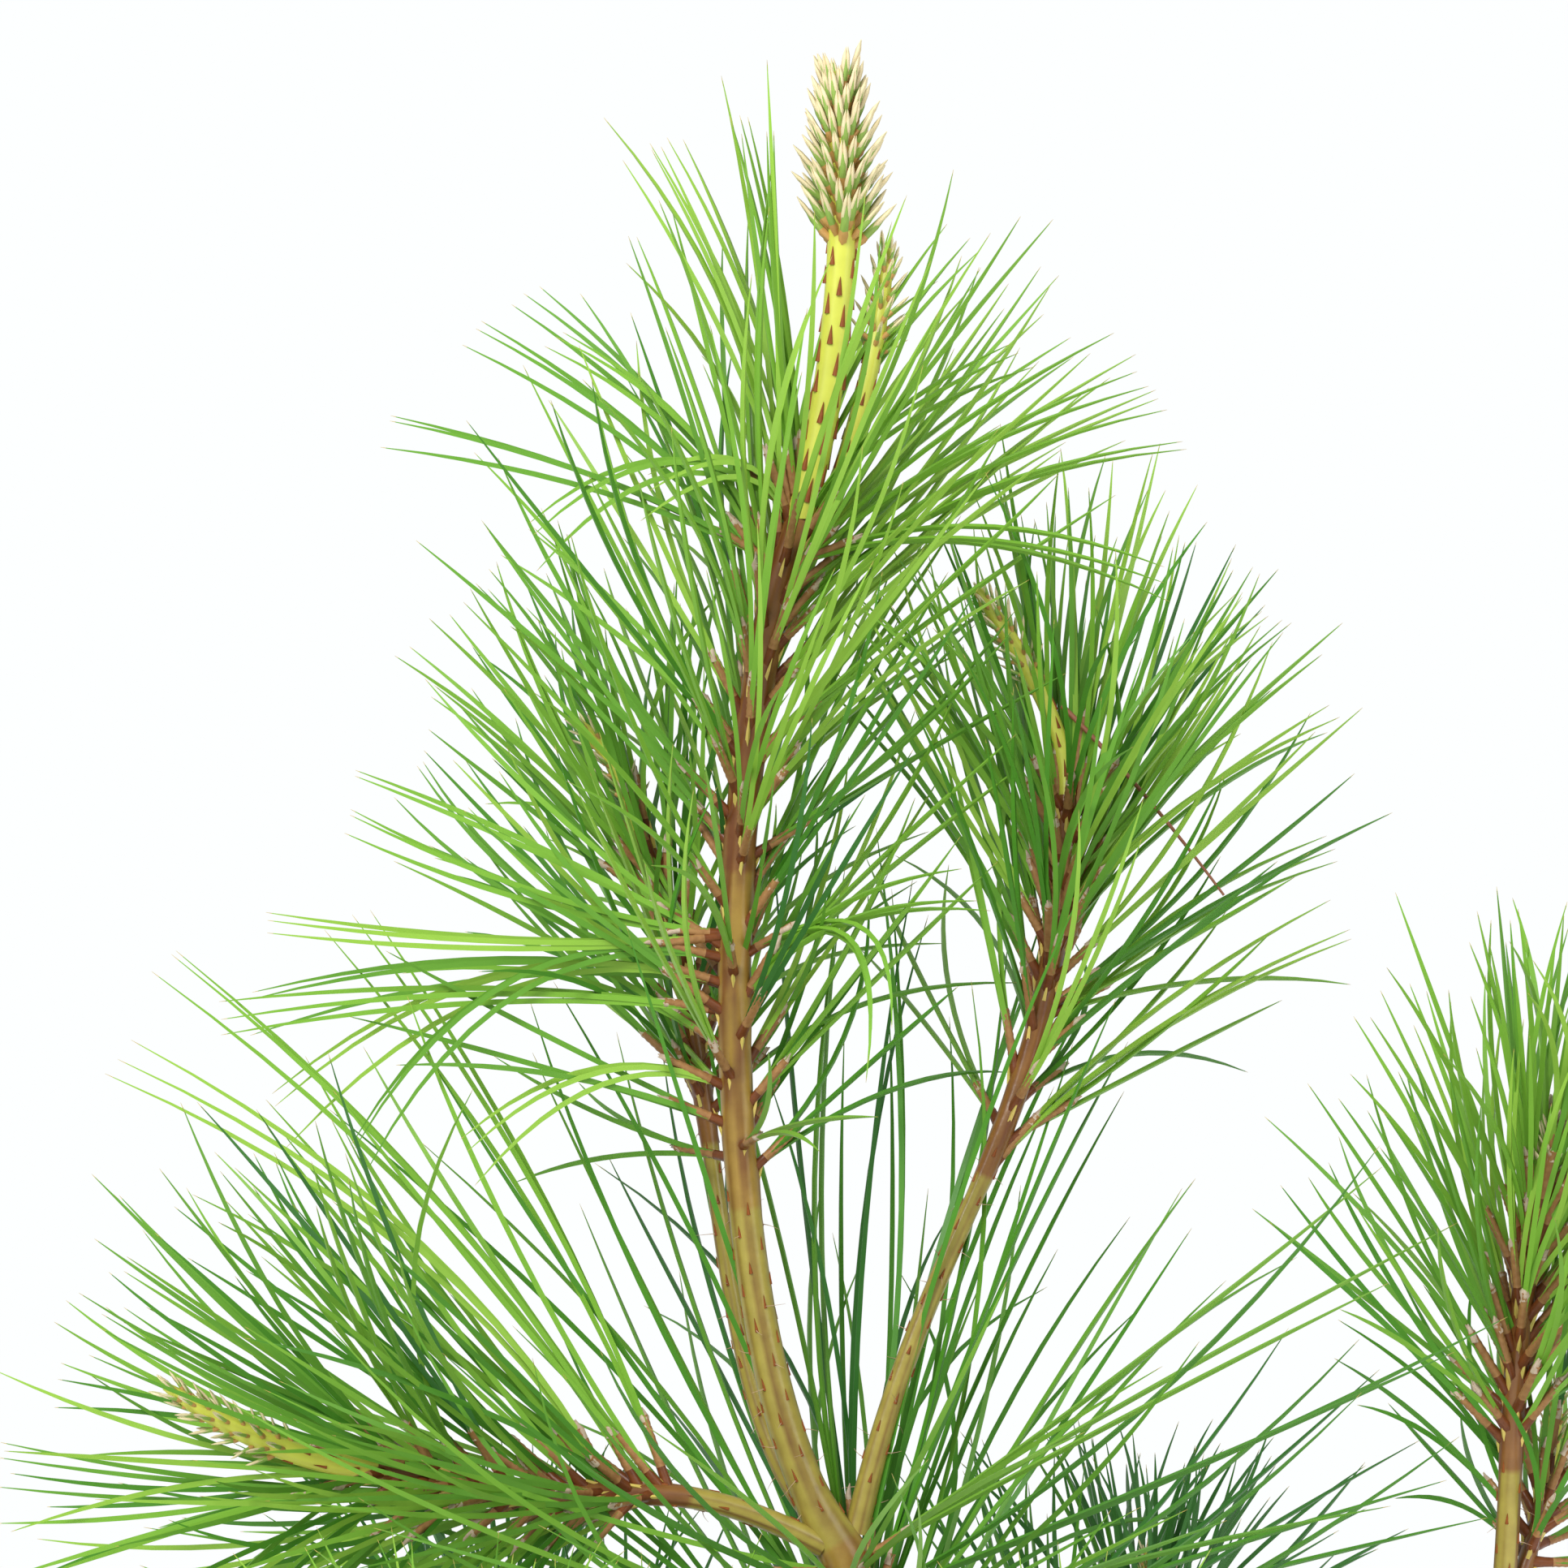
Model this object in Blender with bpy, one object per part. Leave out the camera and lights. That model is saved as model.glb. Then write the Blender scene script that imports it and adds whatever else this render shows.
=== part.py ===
"""A young loblolly pine in a plain nursery pot.

The trunk is one solid from its flat cut on the potting mix to the foot of its top candle.
Boughs leave it at two whorls and end where their needles start. Each mass of needles is one
solid: a core that carries on the bough, or hugs the trunk 0.3 mm clear, with needles standing
out of it by a seeded rule. Lengths below are in millimetres and are turned to metres when a
mesh is made. +Z is up, the origin is the middle of the pot's underside.
"""

import math
from dataclasses import dataclass

import bmesh
import bpy
import numpy as np

MM = 0.001
CLEAR = 0.3
GOLDEN_TURN = math.radians(137.5)
UP = np.array([0.0, 0.0, 1.0])

# Pot and potting mix
POT_HEIGHT = 166.0
POT_FOOT_RADIUS = 63.0
POT_NECK_RADIUS = 79.0
POT_NECK_HEIGHT = 149.0
POT_RIM_RADIUS = 83.5
POT_WALL = 1.8
POT_FLOOR = 2.4
POT_SIDES = 36
DRAIN_SLOTS = 6
DRAIN_WIDTH = 16.0
DRAIN_HEIGHT = 7.0
SOIL_TOP = 150.0
SOIL_DIP = 3.0

# Trunk
UPPER_WHORL_HEIGHT = 360.0
CANDLE_FOOT_HEIGHT = 572.5
CANDLE_HEAD_HEIGHT = 629.0
TIP_HEIGHT = 669.5
FLARE_HEIGHT = 14.0
TRUNK_SIDES = 12
BOUGH_SIDES = 8
CORE_SIDES = 6

# Needles: each solid one stands for a bundle of three, and is stouter than life
NEEDLE_ROOT_RADIUS = 0.75
NEEDLE_BELLY_RADIUS = 1.45
NEEDLE_STATIONS = (0.0, 0.38, 1.0)
NEEDLE_LENGTH_SPREAD = (0.82, 1.08)
NEEDLE_TURN_SPREAD = 0.25
NEEDLE_LEAN_SPREAD = 9.0
NEEDLE_SWAY = 0.12
LEAST_LEAN = 8.0
LEAST_SLEEVE_LEAN = 24.0

# A needle that would touch something is drawn again, each time looser and a little shorter
NEEDLE_TRIES = 16
FIRST_LOOSENESS = 0.5
LOOSER_EACH_TRY = 0.12
SHORTER_EACH_TRY = 0.02
ROOT_UNTESTED = 5.0

# Strips of bark that the needles round the trunk stand out of
SLEEVE_THICKNESS = 2.3
SLEEVE_BANDS = 4
SLEEVE_STEPS = 4
SLEEVE_ROOT_DEPTH = 0.62
SECTOR_GAP = math.radians(6)
SECTOR_MARGIN = 0.3

# Candles and boughs
BUD_ROOT_RADIUS = 0.6
BUD_BELLY_RADIUS = 1.05
BUD_LEAN_FOOT = 38.0
BUD_LEAN_TOP = 14.0
BARE_CANDLE_TIP = 0.18
SIDE_CANDLE_HEAD = 0.62
BUD_REACH = 6.0
LEADER_BUD_REACH = 8.5
LEADER_BUDS = 30
SIDE_BUDS = 12
TRUNK_RING_STEP = 12.0
BOUGH_RING_STEP = 9.0
CORE_RING_STEP = 12.0
COLLAR = 3.0

# Shoots of the lower whorl, measured back from their tips
LOW_NEEDLES_FROM = 78.0
LOW_NEEDLES_TO = 22.0
LOW_CANDLE_FROM = 19.0
LOW_FOLIAGE_TOP = 374.0


def unit(vector):
    """The vector at length one."""
    return vector / np.linalg.norm(vector)


def blend(low, high, share):
    """The value at a share of the way from low to high."""
    return low + (high - low) * share


class Limb:
    """A tapering limb along a chain of cubic curves, measured by length from its foot."""

    SAMPLES = 48

    def __init__(self, curves, radii):
        """Takes the curves as four handles each, and (length share, radius) knots."""
        points = []
        for handles in curves:
            a, b, c, d = (np.array(handle, float) for handle in handles)
            t = np.linspace(0.0, 1.0, self.SAMPLES)[:, None]
            piece = (1 - t) ** 3 * a + 3 * (1 - t) ** 2 * t * b + 3 * (1 - t) * t ** 2 * c + t ** 3 * d
            points.extend(piece if not points else piece[1:])
        self.points = np.array(points)
        steps = np.linalg.norm(np.diff(self.points, axis=0), axis=1)
        self.lengths = np.concatenate(([0.0], np.cumsum(steps)))
        self.length = self.lengths[-1]
        self.knots = [share * self.length for share, _ in radii]
        self.radii = [radius for _, radius in radii]
        self.sides = self._carried_sides()

    def _carried_sides(self):
        """A sideways vector at each sample, carried along the curve without twisting."""
        along = np.gradient(self.points, axis=0)
        along /= np.linalg.norm(along, axis=1)[:, None]
        self.alongs = along
        reference = UP if abs(along[0] @ UP) < 0.8 else np.array([1.0, 0.0, 0.0])
        side = unit(reference - (reference @ along[0]) * along[0])
        sides = []
        for axis in along:
            side = unit(side - (side @ axis) * axis)
            sides.append(side)
        return np.array(sides)

    def _read(self, table, place):
        """One row of a sampled table at a length along the limb."""
        return np.array([np.interp(place, self.lengths, table[:, k]) for k in range(3)])

    def point(self, place):
        """The middle of the limb at a length along it."""
        return self._read(self.points, place)

    def frame(self, place):
        """Two sideways unit vectors and the axis at a length along the limb."""
        axis = unit(self._read(self.alongs, place))
        side = self._read(self.sides, place)
        side = unit(side - (side @ axis) * axis)
        return side, np.cross(axis, side), axis

    def radius(self, place):
        """The limb's radius at a length along it."""
        return float(np.interp(place, self.knots, self.radii))

    def place_at_height(self, height):
        """The length along a rising limb where it reaches a height."""
        return float(np.interp(height, self.points[:, 2], self.lengths))

    def capsules(self, start, end, step=4.0):
        """Straight lengths with a radius that cover the limb from start to end."""
        count = max(2, int((end - start) / step) + 1)
        places = np.linspace(start, end, count)
        points = np.array([self.point(place) for place in places])
        radii = np.array([self.radius(place) for place in places])
        return points[:-1], points[1:], np.maximum(radii[:-1], radii[1:])


class Space:
    """The straight lengths that each node fills, to keep nodes clear of each other."""

    def __init__(self):
        """Starts with nothing in place."""
        self.starts = np.zeros((0, 3))
        self.ends = np.zeros((0, 3))
        self.radii = np.zeros(0)
        self.owners = np.zeros(0, dtype=object)

    def add(self, owner, starts, ends, radii):
        """Adds lengths that belong to the node called owner."""
        self.starts = np.vstack([self.starts, starts])
        self.ends = np.vstack([self.ends, ends])
        self.radii = np.concatenate([self.radii, radii])
        self.owners = np.concatenate([self.owners, np.array([owner] * len(radii), dtype=object)])

    def is_clear(self, owner, starts, ends, radii):
        """True if the lengths keep CLEAR to every node but their own."""
        others = self.owners != owner
        p, q, r = self.starts[others], self.ends[others], self.radii[others]
        for start, end, radius in zip(starts, ends, radii):
            if len(p) and (gaps_between(start, end, p, q) - r - radius).min() < CLEAR:
                return False
        return True


def gaps_between(start, end, starts, ends):
    """Distances from one straight length to many."""
    d1, d2, r = end - start, ends - starts, start - starts
    a = d1 @ d1
    e = np.einsum("ij,ij->i", d2, d2)
    f = np.einsum("ij,ij->i", d2, r)
    b = d2 @ d1
    c = r @ d1
    spread = a * e - b * b
    s = np.where(spread > 1e-9, np.clip((b * f - c * e) / np.where(spread > 1e-9, spread, 1), 0, 1), 0)
    t = np.clip((b * s + f) / e, 0, 1)
    s = np.clip((b * t - c) / a, 0, 1)
    apart = (start + s[:, None] * d1) - (starts + t[:, None] * d2)
    return np.linalg.norm(apart, axis=1)


@dataclass
class Needles:
    """The seeded rule by which needles stand out of a stretch of limb.

    Leans are angles off the limb's axis, in degrees, at the stretch's foot and at its top.
    A needle's course turns by the end towards straight up, by a pull drawn from its range.
    """

    start: float
    end: float
    count: int
    seed: int
    lean_foot: float
    lean_top: float
    length_foot: float
    length_top: float
    pull: tuple = (-0.25, 0.45)
    highest: float = TIP_HEIGHT


def needle_course(root, frame, turn, lean, length, pull, sway):
    """The points of one needle, whose direction swings evenly from its root to its tip."""
    side, over, axis = frame
    outward = math.cos(turn) * side + math.sin(turn) * over
    start = math.cos(lean) * axis + math.sin(lean) * outward
    end = unit(start + pull * UP + sway * np.cross(start, UP))
    stations = np.array(NEEDLE_STATIONS)[:, None]
    return root + length * (start * (stations - stations ** 2 / 2) + end * stations ** 2 / 2)


def finished(name, mesh, smooth=False):
    """Turns a bmesh into an object in the scene and returns it."""
    data = bpy.data.meshes.new(name)
    mesh.to_mesh(data)
    mesh.free()
    if smooth:
        data.shade_smooth()
        data.set_sharp_from_angle(angle=math.radians(40))
    made = bpy.data.objects.new(name, data)
    bpy.context.scene.collection.objects.link(made)
    return made


def ring(mesh, middle, radius, side, over, sides):
    """Vertices evenly round a middle point, in millimetres, made in metres."""
    made = []
    for k in range(sides):
        angle = 2 * math.pi * k / sides
        corner = middle + radius * (math.cos(angle) * side + math.sin(angle) * over)
        made.append(mesh.verts.new(corner * MM))
    return made


def skin(mesh, rings):
    """Faces between each ring and the next, where a ring may be a single point."""
    for low, high in zip(rings, rings[1:]):
        sides = max(len(low), len(high))
        for k in range(sides):
            n = (k + 1) % sides
            corners = [low[k % len(low)], low[n % len(low)], high[n % len(high)], high[k % len(high)]]
            mesh.faces.new(list(dict.fromkeys(corners)))


def spike(name, points, radii, sides=3):
    """A closed slim solid: a small ring at its root, rings along it and one point at its tip."""
    mesh = bmesh.new()
    axis = unit(points[1] - points[0])
    side = unit(np.cross(axis, UP if abs(axis @ UP) < 0.9 else np.array([1.0, 0.0, 0.0])))
    rings = []
    for index, radius in enumerate(radii):
        axis = unit(points[index + 1] - points[max(index - 1, 0)])
        side = unit(side - (side @ axis) * axis)
        rings.append(ring(mesh, points[index], radius, side, np.cross(axis, side), sides))
    rings.append([mesh.verts.new(points[-1] * MM)])
    mesh.faces.new(rings[0][::-1])
    skin(mesh, rings)
    return finished(name, mesh)


def tube(name, limb, places, sides, level_foot=False):
    """A closed round solid through the given places along a limb, cut flat at both ends."""
    mesh = bmesh.new()
    rings = []
    for index, place in enumerate(places):
        side, over, _ = limb.frame(place)
        if level_foot and index == 0:
            side, over = np.array([1.0, 0.0, 0.0]), np.array([0.0, 1.0, 0.0])
        rings.append(ring(mesh, limb.point(place), limb.radius(place), side, over, sides))
    mesh.faces.new(rings[0][::-1])
    mesh.faces.new(rings[-1])
    skin(mesh, rings)
    return finished(name, mesh, smooth=True)


def sleeve(name, limb, start, end, sector):
    """A closed strip of bark that hugs one side of the trunk, CLEAR of it all over."""
    mesh = bmesh.new()
    half_step = (sector[1] - sector[0]) / SLEEVE_STEPS / 2
    hoops = []
    for place in np.linspace(start, end, SLEEVE_BANDS):
        side, over, _ = limb.frame(place)
        inner = (limb.radius(place) + CLEAR) / math.cos(half_step)
        turns = np.linspace(*sector, SLEEVE_STEPS + 1)
        corners = [(inner + SLEEVE_THICKNESS, turn) for turn in turns]
        corners += [(inner, turn) for turn in turns[::-1]]
        hoop = []
        for radius, turn in corners:
            outward = math.cos(turn) * side + math.sin(turn) * over
            hoop.append(mesh.verts.new((limb.point(place) + radius * outward) * MM))
        hoops.append(hoop)
    skin(mesh, hoops)
    for hoop, flip in ((hoops[0], True), (hoops[-1], False)):
        for k in range(SLEEVE_STEPS):
            corners = (hoop[k], hoop[k + 1], hoop[-2 - k], hoop[-1 - k])
            mesh.faces.new(corners[::-1] if flip else corners)
    return finished(name, mesh)


def turned(name, profile, sides):
    """A closed solid turned about +Z from (radius, height) points that start and end on it."""
    mesh = bmesh.new()
    across, back = np.array([1.0, 0.0, 0.0]), np.array([0.0, 1.0, 0.0])
    rings = []
    for radius, height in profile:
        rings.append(ring(mesh, UP * height, radius, across, back, sides if radius else 1))
    skin(mesh, rings)
    return finished(name, mesh, smooth=True)


def box(name, centre, size, turn):
    """A closed box turned about +Z."""
    mesh = bmesh.new()
    bmesh.ops.create_cube(mesh, size=1.0)
    for vertex in mesh.verts:
        x, y, z = (vertex.co[k] * size[k] for k in range(3))
        vertex.co = ((centre[0] + x * math.cos(turn) - y * math.sin(turn)) * MM,
                     (centre[1] + x * math.sin(turn) + y * math.cos(turn)) * MM,
                     (centre[2] + z) * MM)
    return finished(name, mesh)


def fused(body, pieces, operation="UNION"):
    """Joins the pieces to the body, or cuts them from it, by one Boolean that is applied."""
    group = bpy.data.collections.new(body.name + "_pieces")
    bpy.context.scene.collection.children.link(group)
    for piece in pieces:
        bpy.context.scene.collection.objects.unlink(piece)
        group.objects.link(piece)
    boolean = body.modifiers.new("fuse", "BOOLEAN")
    boolean.operation = operation
    boolean.solver = "EXACT"
    boolean.operand_type = "COLLECTION"
    boolean.collection = group
    seen = body.evaluated_get(bpy.context.evaluated_depsgraph_get())
    result = bpy.data.meshes.new_from_object(seen)
    body.modifiers.clear()
    body.data = result
    for piece in pieces:
        bpy.data.objects.remove(piece, do_unlink=True)
    bpy.data.collections.remove(group)
    return body


def material(name, colour, roughness):
    """A plain Principled material."""
    made = bpy.data.materials.new(name)
    made.use_nodes = True
    shader = made.node_tree.nodes["Principled BSDF"]
    shader.inputs["Base Color"].default_value = (*colour, 1.0)
    shader.inputs["Roughness"].default_value = roughness
    return made


def dressed(thing, finish):
    """Gives an object its one material."""
    thing.data.materials.clear()
    thing.data.materials.append(finish)
    return thing


def candle_buds(name, limb, start, reach, count, seed):
    """Short closed buds in spirals round a candle's head, and one along its tip."""
    random = np.random.default_rng(seed)
    end = blend(limb.length, start, BARE_CANDLE_TIP)
    buds = []
    for index in range(count):
        share = (index + 0.5) / count
        place = blend(start, end, share)
        side, over, axis = limb.frame(place)
        turn = index * GOLDEN_TURN
        lean = math.radians(blend(BUD_LEAN_FOOT, BUD_LEAN_TOP, share) + random.uniform(-4, 4))
        outward = math.cos(turn) * side + math.sin(turn) * over
        course = math.cos(lean) * axis + math.sin(lean) * outward
        root = limb.point(place) + outward * limb.radius(place) * 0.5
        length = reach * random.uniform(0.85, 1.1)
        points = [root, root + course * length * 0.5, root + course * length]
        buds.append(spike(f"{name}_bud_{index}", points, (BUD_ROOT_RADIUS, BUD_BELLY_RADIUS)))
    return buds


def place_needles(name, limb, rule, space, sector=None):
    """Needles of one mass by its rule, leaving out those that would touch another node."""
    random = np.random.default_rng(rule.seed)
    radii = np.array([NEEDLE_ROOT_RADIUS, NEEDLE_BELLY_RADIUS])
    reach = np.maximum(radii, np.append(radii[1:], 0.0))
    made = []
    for index in range(rule.count):
        share = (index + 0.5) / rule.count
        place = blend(rule.start, rule.end, share)
        frame = limb.frame(place)
        for attempt in range(NEEDLE_TRIES):
            loose = FIRST_LOOSENESS + LOOSER_EACH_TRY * attempt
            turn = index * GOLDEN_TURN + random.normal(0, NEEDLE_TURN_SPREAD * loose)
            lean = blend(rule.lean_foot, rule.lean_top, share)
            lean += random.normal(0, NEEDLE_LEAN_SPREAD * loose)
            length = blend(rule.length_foot, rule.length_top, share)
            length *= random.uniform(*NEEDLE_LENGTH_SPREAD) * (1 - SHORTER_EACH_TRY * attempt)
            root = limb.point(place)
            if sector:
                share_round = turn % (2 * math.pi) / (2 * math.pi)
                turn = blend(sector[0] + SECTOR_MARGIN, sector[1] - SECTOR_MARGIN, share_round)
                side, over, _ = frame
                outward = math.cos(turn) * side + math.sin(turn) * over
                depth = CLEAR + SLEEVE_THICKNESS * SLEEVE_ROOT_DEPTH
                root = root + outward * (limb.radius(place) + depth)
            lean = math.radians(max(lean, LEAST_SLEEVE_LEAN if sector else LEAST_LEAN))
            course = needle_course(root, frame, turn, lean, length,
                                   random.uniform(*rule.pull), random.normal(0, NEEDLE_SWAY))
            if course[:, 2].max() > rule.highest:
                continue
            tested = course.copy()
            tested[0] += unit(course[1] - course[0]) * ROOT_UNTESTED
            if space.is_clear(name, tested[:-1], tested[1:], reach):
                space.add(name, tested[:-1], tested[1:], reach)
                made.append(spike(f"{name}_needle_{index}", course, radii))
                break
    return made


def clear_start(limb, parent):
    """The first length along a limb where its foot ring is CLEAR of the limb it grows from."""
    starts, ends, radii = parent.capsules(0.0, parent.length, 2.0)
    place = 0.0
    while True:
        side, over, axis = limb.frame(place)
        middle, radius = limb.point(place), limb.radius(place)
        nearest = math.inf
        for k in range(BOUGH_SIDES):
            angle = 2 * math.pi * k / BOUGH_SIDES
            corner = middle + radius * (math.cos(angle) * side + math.sin(angle) * over)
            gaps = gaps_between(corner, corner + axis * 0.01, starts, ends) - radii
            nearest = min(nearest, gaps.min())
        if nearest >= CLEAR:
            return place
        place += 0.1


def add_candle(name, limb, places, head, reach, bud_count, space, finish):
    """A candle that is a node of its own: its core with the buds fused on round its head."""
    core = tube(name, limb, places, BOUGH_SIDES)
    buds = candle_buds(name, limb, head, reach, bud_count, bud_count)
    dressed(fused(core, buds), finish)
    starts, ends, radii = limb.capsules(places[0], limb.length)
    space.add(name, starts, ends, radii + reach / 3)


@dataclass
class Shoot:
    """A bough, the mass of needles that it ends in, and the candle at its tip.

    A shoot with no bare stretch of its own is all mass, and starts clear of its parent.
    """

    name: str
    limb: Limb
    needles: Needles
    candle_start: float
    bud_count: int
    bends: tuple = ()
    parent: Limb = None

    def __post_init__(self):
        """Finds where the shoot stands clear of its parent, and where its mass starts."""
        self.foot = clear_start(self.limb, self.parent or TRUNK)
        bare_end = self.needles.start - COLLAR
        self.stops = [self.foot, *self.bends, bare_end] if bare_end > self.foot + COLLAR else []
        self.core_start = bare_end + CLEAR if self.stops else self.foot

    def build_bough(self, space, bark):
        """Makes the bare bough, in one solid or split at its bends, and keeps the core's room."""
        stops = self.stops
        for number, (start, end) in enumerate(zip(stops, stops[1:])):
            name = f"{self.name}_bough" if len(stops) == 2 else f"{self.name}_bough_{number + 1}"
            first = start if number == 0 else start + CLEAR
            places = np.linspace(first, end, max(4, round((end - first) / BOUGH_RING_STEP) + 1))
            dressed(tube(name, self.limb, places, BOUGH_SIDES), bark)
            space.add(name, *self.limb.capsules(first, end))
        space.add(f"{self.name}_foliage", *self.limb.capsules(self.core_start, self.limb.length))

    def build_mass(self, space, foliage):
        """Makes the mass: its core with the needles and the candle's buds fused on."""
        name = f"{self.name}_foliage"
        steps = max(3, round((self.candle_start - self.core_start) / CORE_RING_STEP))
        places = np.concatenate([np.linspace(self.core_start, self.candle_start, steps + 1),
                                 np.linspace(self.candle_start, self.limb.length, 5)[1:]])
        core = tube(name, self.limb, places, CORE_SIDES)
        pieces = place_needles(name, self.limb, self.needles, space)
        pieces += candle_buds(name, self.limb, self.candle_start, BUD_REACH, self.bud_count,
                              self.needles.seed + 1)
        dressed(fused(core, pieces), foliage)


@dataclass
class TrunkMass:
    """Needles on one side of a stretch of the trunk, standing out of a strip of bark."""

    name: str
    needles: Needles
    sector: tuple

    def keep_room(self, space):
        """Marks the room that the strip fills."""
        for turn in np.linspace(*self.sector, 5):
            line = []
            for place in np.linspace(self.needles.start, self.needles.end, 8):
                side, over, _ = TRUNK.frame(place)
                outward = math.cos(turn) * side + math.sin(turn) * over
                middle = TRUNK.radius(place) + CLEAR + SLEEVE_THICKNESS / 2
                line.append(TRUNK.point(place) + outward * middle)
            line = np.array(line)
            space.add(self.name, line[:-1], line[1:], np.full(len(line) - 1, SLEEVE_THICKNESS * 0.6))

    def build_mass(self, space, foliage):
        """Makes the strip with its needles fused on."""
        strip = sleeve(self.name, TRUNK, self.needles.start, self.needles.end, self.sector)
        pieces = place_needles(self.name, TRUNK, self.needles, space, self.sector)
        dressed(fused(strip, pieces), foliage)


# The trunk's course is its lower stem, then the leader, then the new candle
TRUNK = Limb(
    [[(0, 0, SOIL_TOP + CLEAR), (-7, 3, 215), (13, -3, 300), (0, 0, UPPER_WHORL_HEIGHT)],
     [(0, 0, UPPER_WHORL_HEIGHT), (-29, 0, 400), (-27.5, 0, 524), (-9.2, 0, CANDLE_FOOT_HEIGHT)],
     [(-9.2, 0, CANDLE_FOOT_HEIGHT), (-0.3, -1, 603.5), (1.2, -1.4, 636), (-1.7, -2, TIP_HEIGHT)]],
    [(0.0, 9.0), (0.006, 8.0), (0.026, 6.3), (0.18, 5.3), (0.199, 6.0), (0.222, 5.1), (0.38, 4.4),
     (0.401, 5.1), (0.43, 3.8), (0.5, 3.4), (0.75, 3.3), (0.8, 3.0), (0.86, 3.1), (0.92, 2.9),
     (0.94, 5.0), (0.965, 5.2), (0.985, 3.6), (1.0, 0.9)])
SIDE_CANDLE = Limb(
    [[(-6.8, 1.6, 567.5), (1.5, 2.8, 584), (8.8, 5, 613), (9.3, 6, 632)]],
    [(0.0, 1.7), (0.55, 1.9), (0.66, 3.0), (0.85, 2.6), (1.0, 0.7)])

# Shoots of the upper whorl, and the long one at the right that turns up from the lower whorl
RIGHT_LIMB = Limb(
    [[(2.5, 2, 364), (17.5, 8.5, 431), (44.3, 11.4, 443), (46.8, 18, 515)],
     [(46.8, 18, 515), (47.1, 20.7, 532.6), (35.7, 21.8, 547), (26.7, 24, 561.5)]],
    [(0.0, 2.6), (0.1, 2.3), (0.35, 1.9), (0.42, 2.3), (0.74, 2.2), (0.78, 1.7), (0.88, 1.8),
     (0.93, 3.0), (0.97, 2.4), (1.0, 0.8)])
BACK_LEFT_LIMB = Limb(
    [[(-3.0, 5, 364), (-31, 17, 385.6), (-23, 25, 471), (-44.7, 36, 512)],
     [(-44.7, 36, 512), (-46, 37, 521), (-52, 39, 527.5), (-58.3, 40, 533.4)]],
    [(0.0, 2.3), (0.15, 2.0), (0.45, 1.8), (0.5, 2.1), (0.8, 1.9), (0.87, 1.7), (0.92, 2.9),
     (0.97, 2.2), (1.0, 0.7)])
LEFT_LIMB = Limb(
    [[(-4.5, -2, 362), (-41.7, -10, 383), (-46.4, -9, 366), (-89.5, -16, 379.5)],
     [(-89.5, -16, 379.5), (-108, -18, 379), (-124.5, -22.7, 388.4), (-139.2, -24, 399)]],
    [(0.0, 2.4), (0.2, 2.2), (0.25, 2.3), (0.6, 2.2), (0.76, 2.2), (0.85, 3.2), (0.93, 2.8),
     (1.0, 0.9)])
FAR_RIGHT_LIMB = Limb(
    [[(3, -1, 256), (46, -4, 273), (126, -6, 286), (133.7, -10, 349)],
     [(133.7, -10, 349), (135.5, -13, 376.5), (135, -15, 404), (138.6, -22, 431)],
     [(138.6, -22, 431), (140, -25, 438), (142, -27, 446), (143, -28, 453)]],
    [(0.0, 3.4), (0.3, 2.7), (0.62, 2.4), (0.92, 2.3), (0.95, 2.0), (0.97, 2.7), (1.0, 0.7)])
FAR_SIDE_LIMB = Limb(
    [[(137, -10, 355), (141, -6, 364), (146, 1, 376), (147.5, 5, 398)]],
    [(0.0, 1.7), (0.5, 1.6), (0.6, 2.7), (0.85, 2.3), (1.0, 0.7)])
LOW_RADII = [(0.0, 3.2), (0.3, 2.6), (0.6, 2.2), (0.86, 2.1), (0.9, 1.7), (0.94, 2.7), (1.0, 0.7)]


def low_shoot(name, azimuth, reach, foot_height, tip_height, seed):
    """A shoot of the lower whorl: out from the trunk, then up, by one rule for every side.

    Its crook, knee and other handles are shares of how far it reaches out and of its rise.
    """
    outward = np.array([math.cos(math.radians(azimuth)), math.sin(math.radians(azimuth)), 0.0])
    foot = TRUNK.point(TRUNK.place_at_height(foot_height)) + outward * 4.0
    rise = tip_height - foot_height
    crook = outward * reach * 0.62 + UP * (foot_height + 0.2 * rise)
    knee = outward * reach * 0.88 + UP * (foot_height + 0.5 * rise)
    tip = outward * reach + UP * tip_height
    early = foot + outward * reach * 0.3 + UP * rise * 0.12
    after = knee + unit(knee - crook) * rise * 0.2
    limb = Limb([[foot, early, crook, knee], [knee, after, tip - UP * rise * 0.15, tip]], LOW_RADII)
    needles = Needles(start=limb.length - LOW_NEEDLES_FROM, end=limb.length - LOW_NEEDLES_TO,
                      count=33, seed=seed, lean_foot=64, lean_top=20, length_foot=90,
                      length_top=80, pull=(-0.25, 0.3), highest=LOW_FOLIAGE_TOP)
    return Shoot(name, limb, needles, limb.length - LOW_CANDLE_FROM, 6)


UPPER_SHOOTS = [
    Shoot("right", RIGHT_LIMB, Needles(82, 160, 54, 21, 52, 10, 86, 74, (-0.1, 0.4)), 184.0, 10),
    Shoot("back_left", BACK_LEFT_LIMB, Needles(92, 155, 46, 31, 56, 14, 82, 72, (-0.15, 0.4)),
          160.0, 10),
    Shoot("left", LEFT_LIMB, Needles(38, 92, 50, 41, 52, 16, 112, 82, (-0.25, 0.5)), 112.0, 14),
    Shoot("far_right", FAR_RIGHT_LIMB, Needles(206, 258, 46, 51, 52, 12, 76, 70, (-0.1, 0.4)),
          263.0, 8, bends=(112.0,)),
    Shoot("far_side", FAR_SIDE_LIMB, Needles(5, 22, 10, 57, 60, 30, 62, 58, (-0.1, 0.3)), 25.0, 9,
          parent=FAR_RIGHT_LIMB),
]
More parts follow.
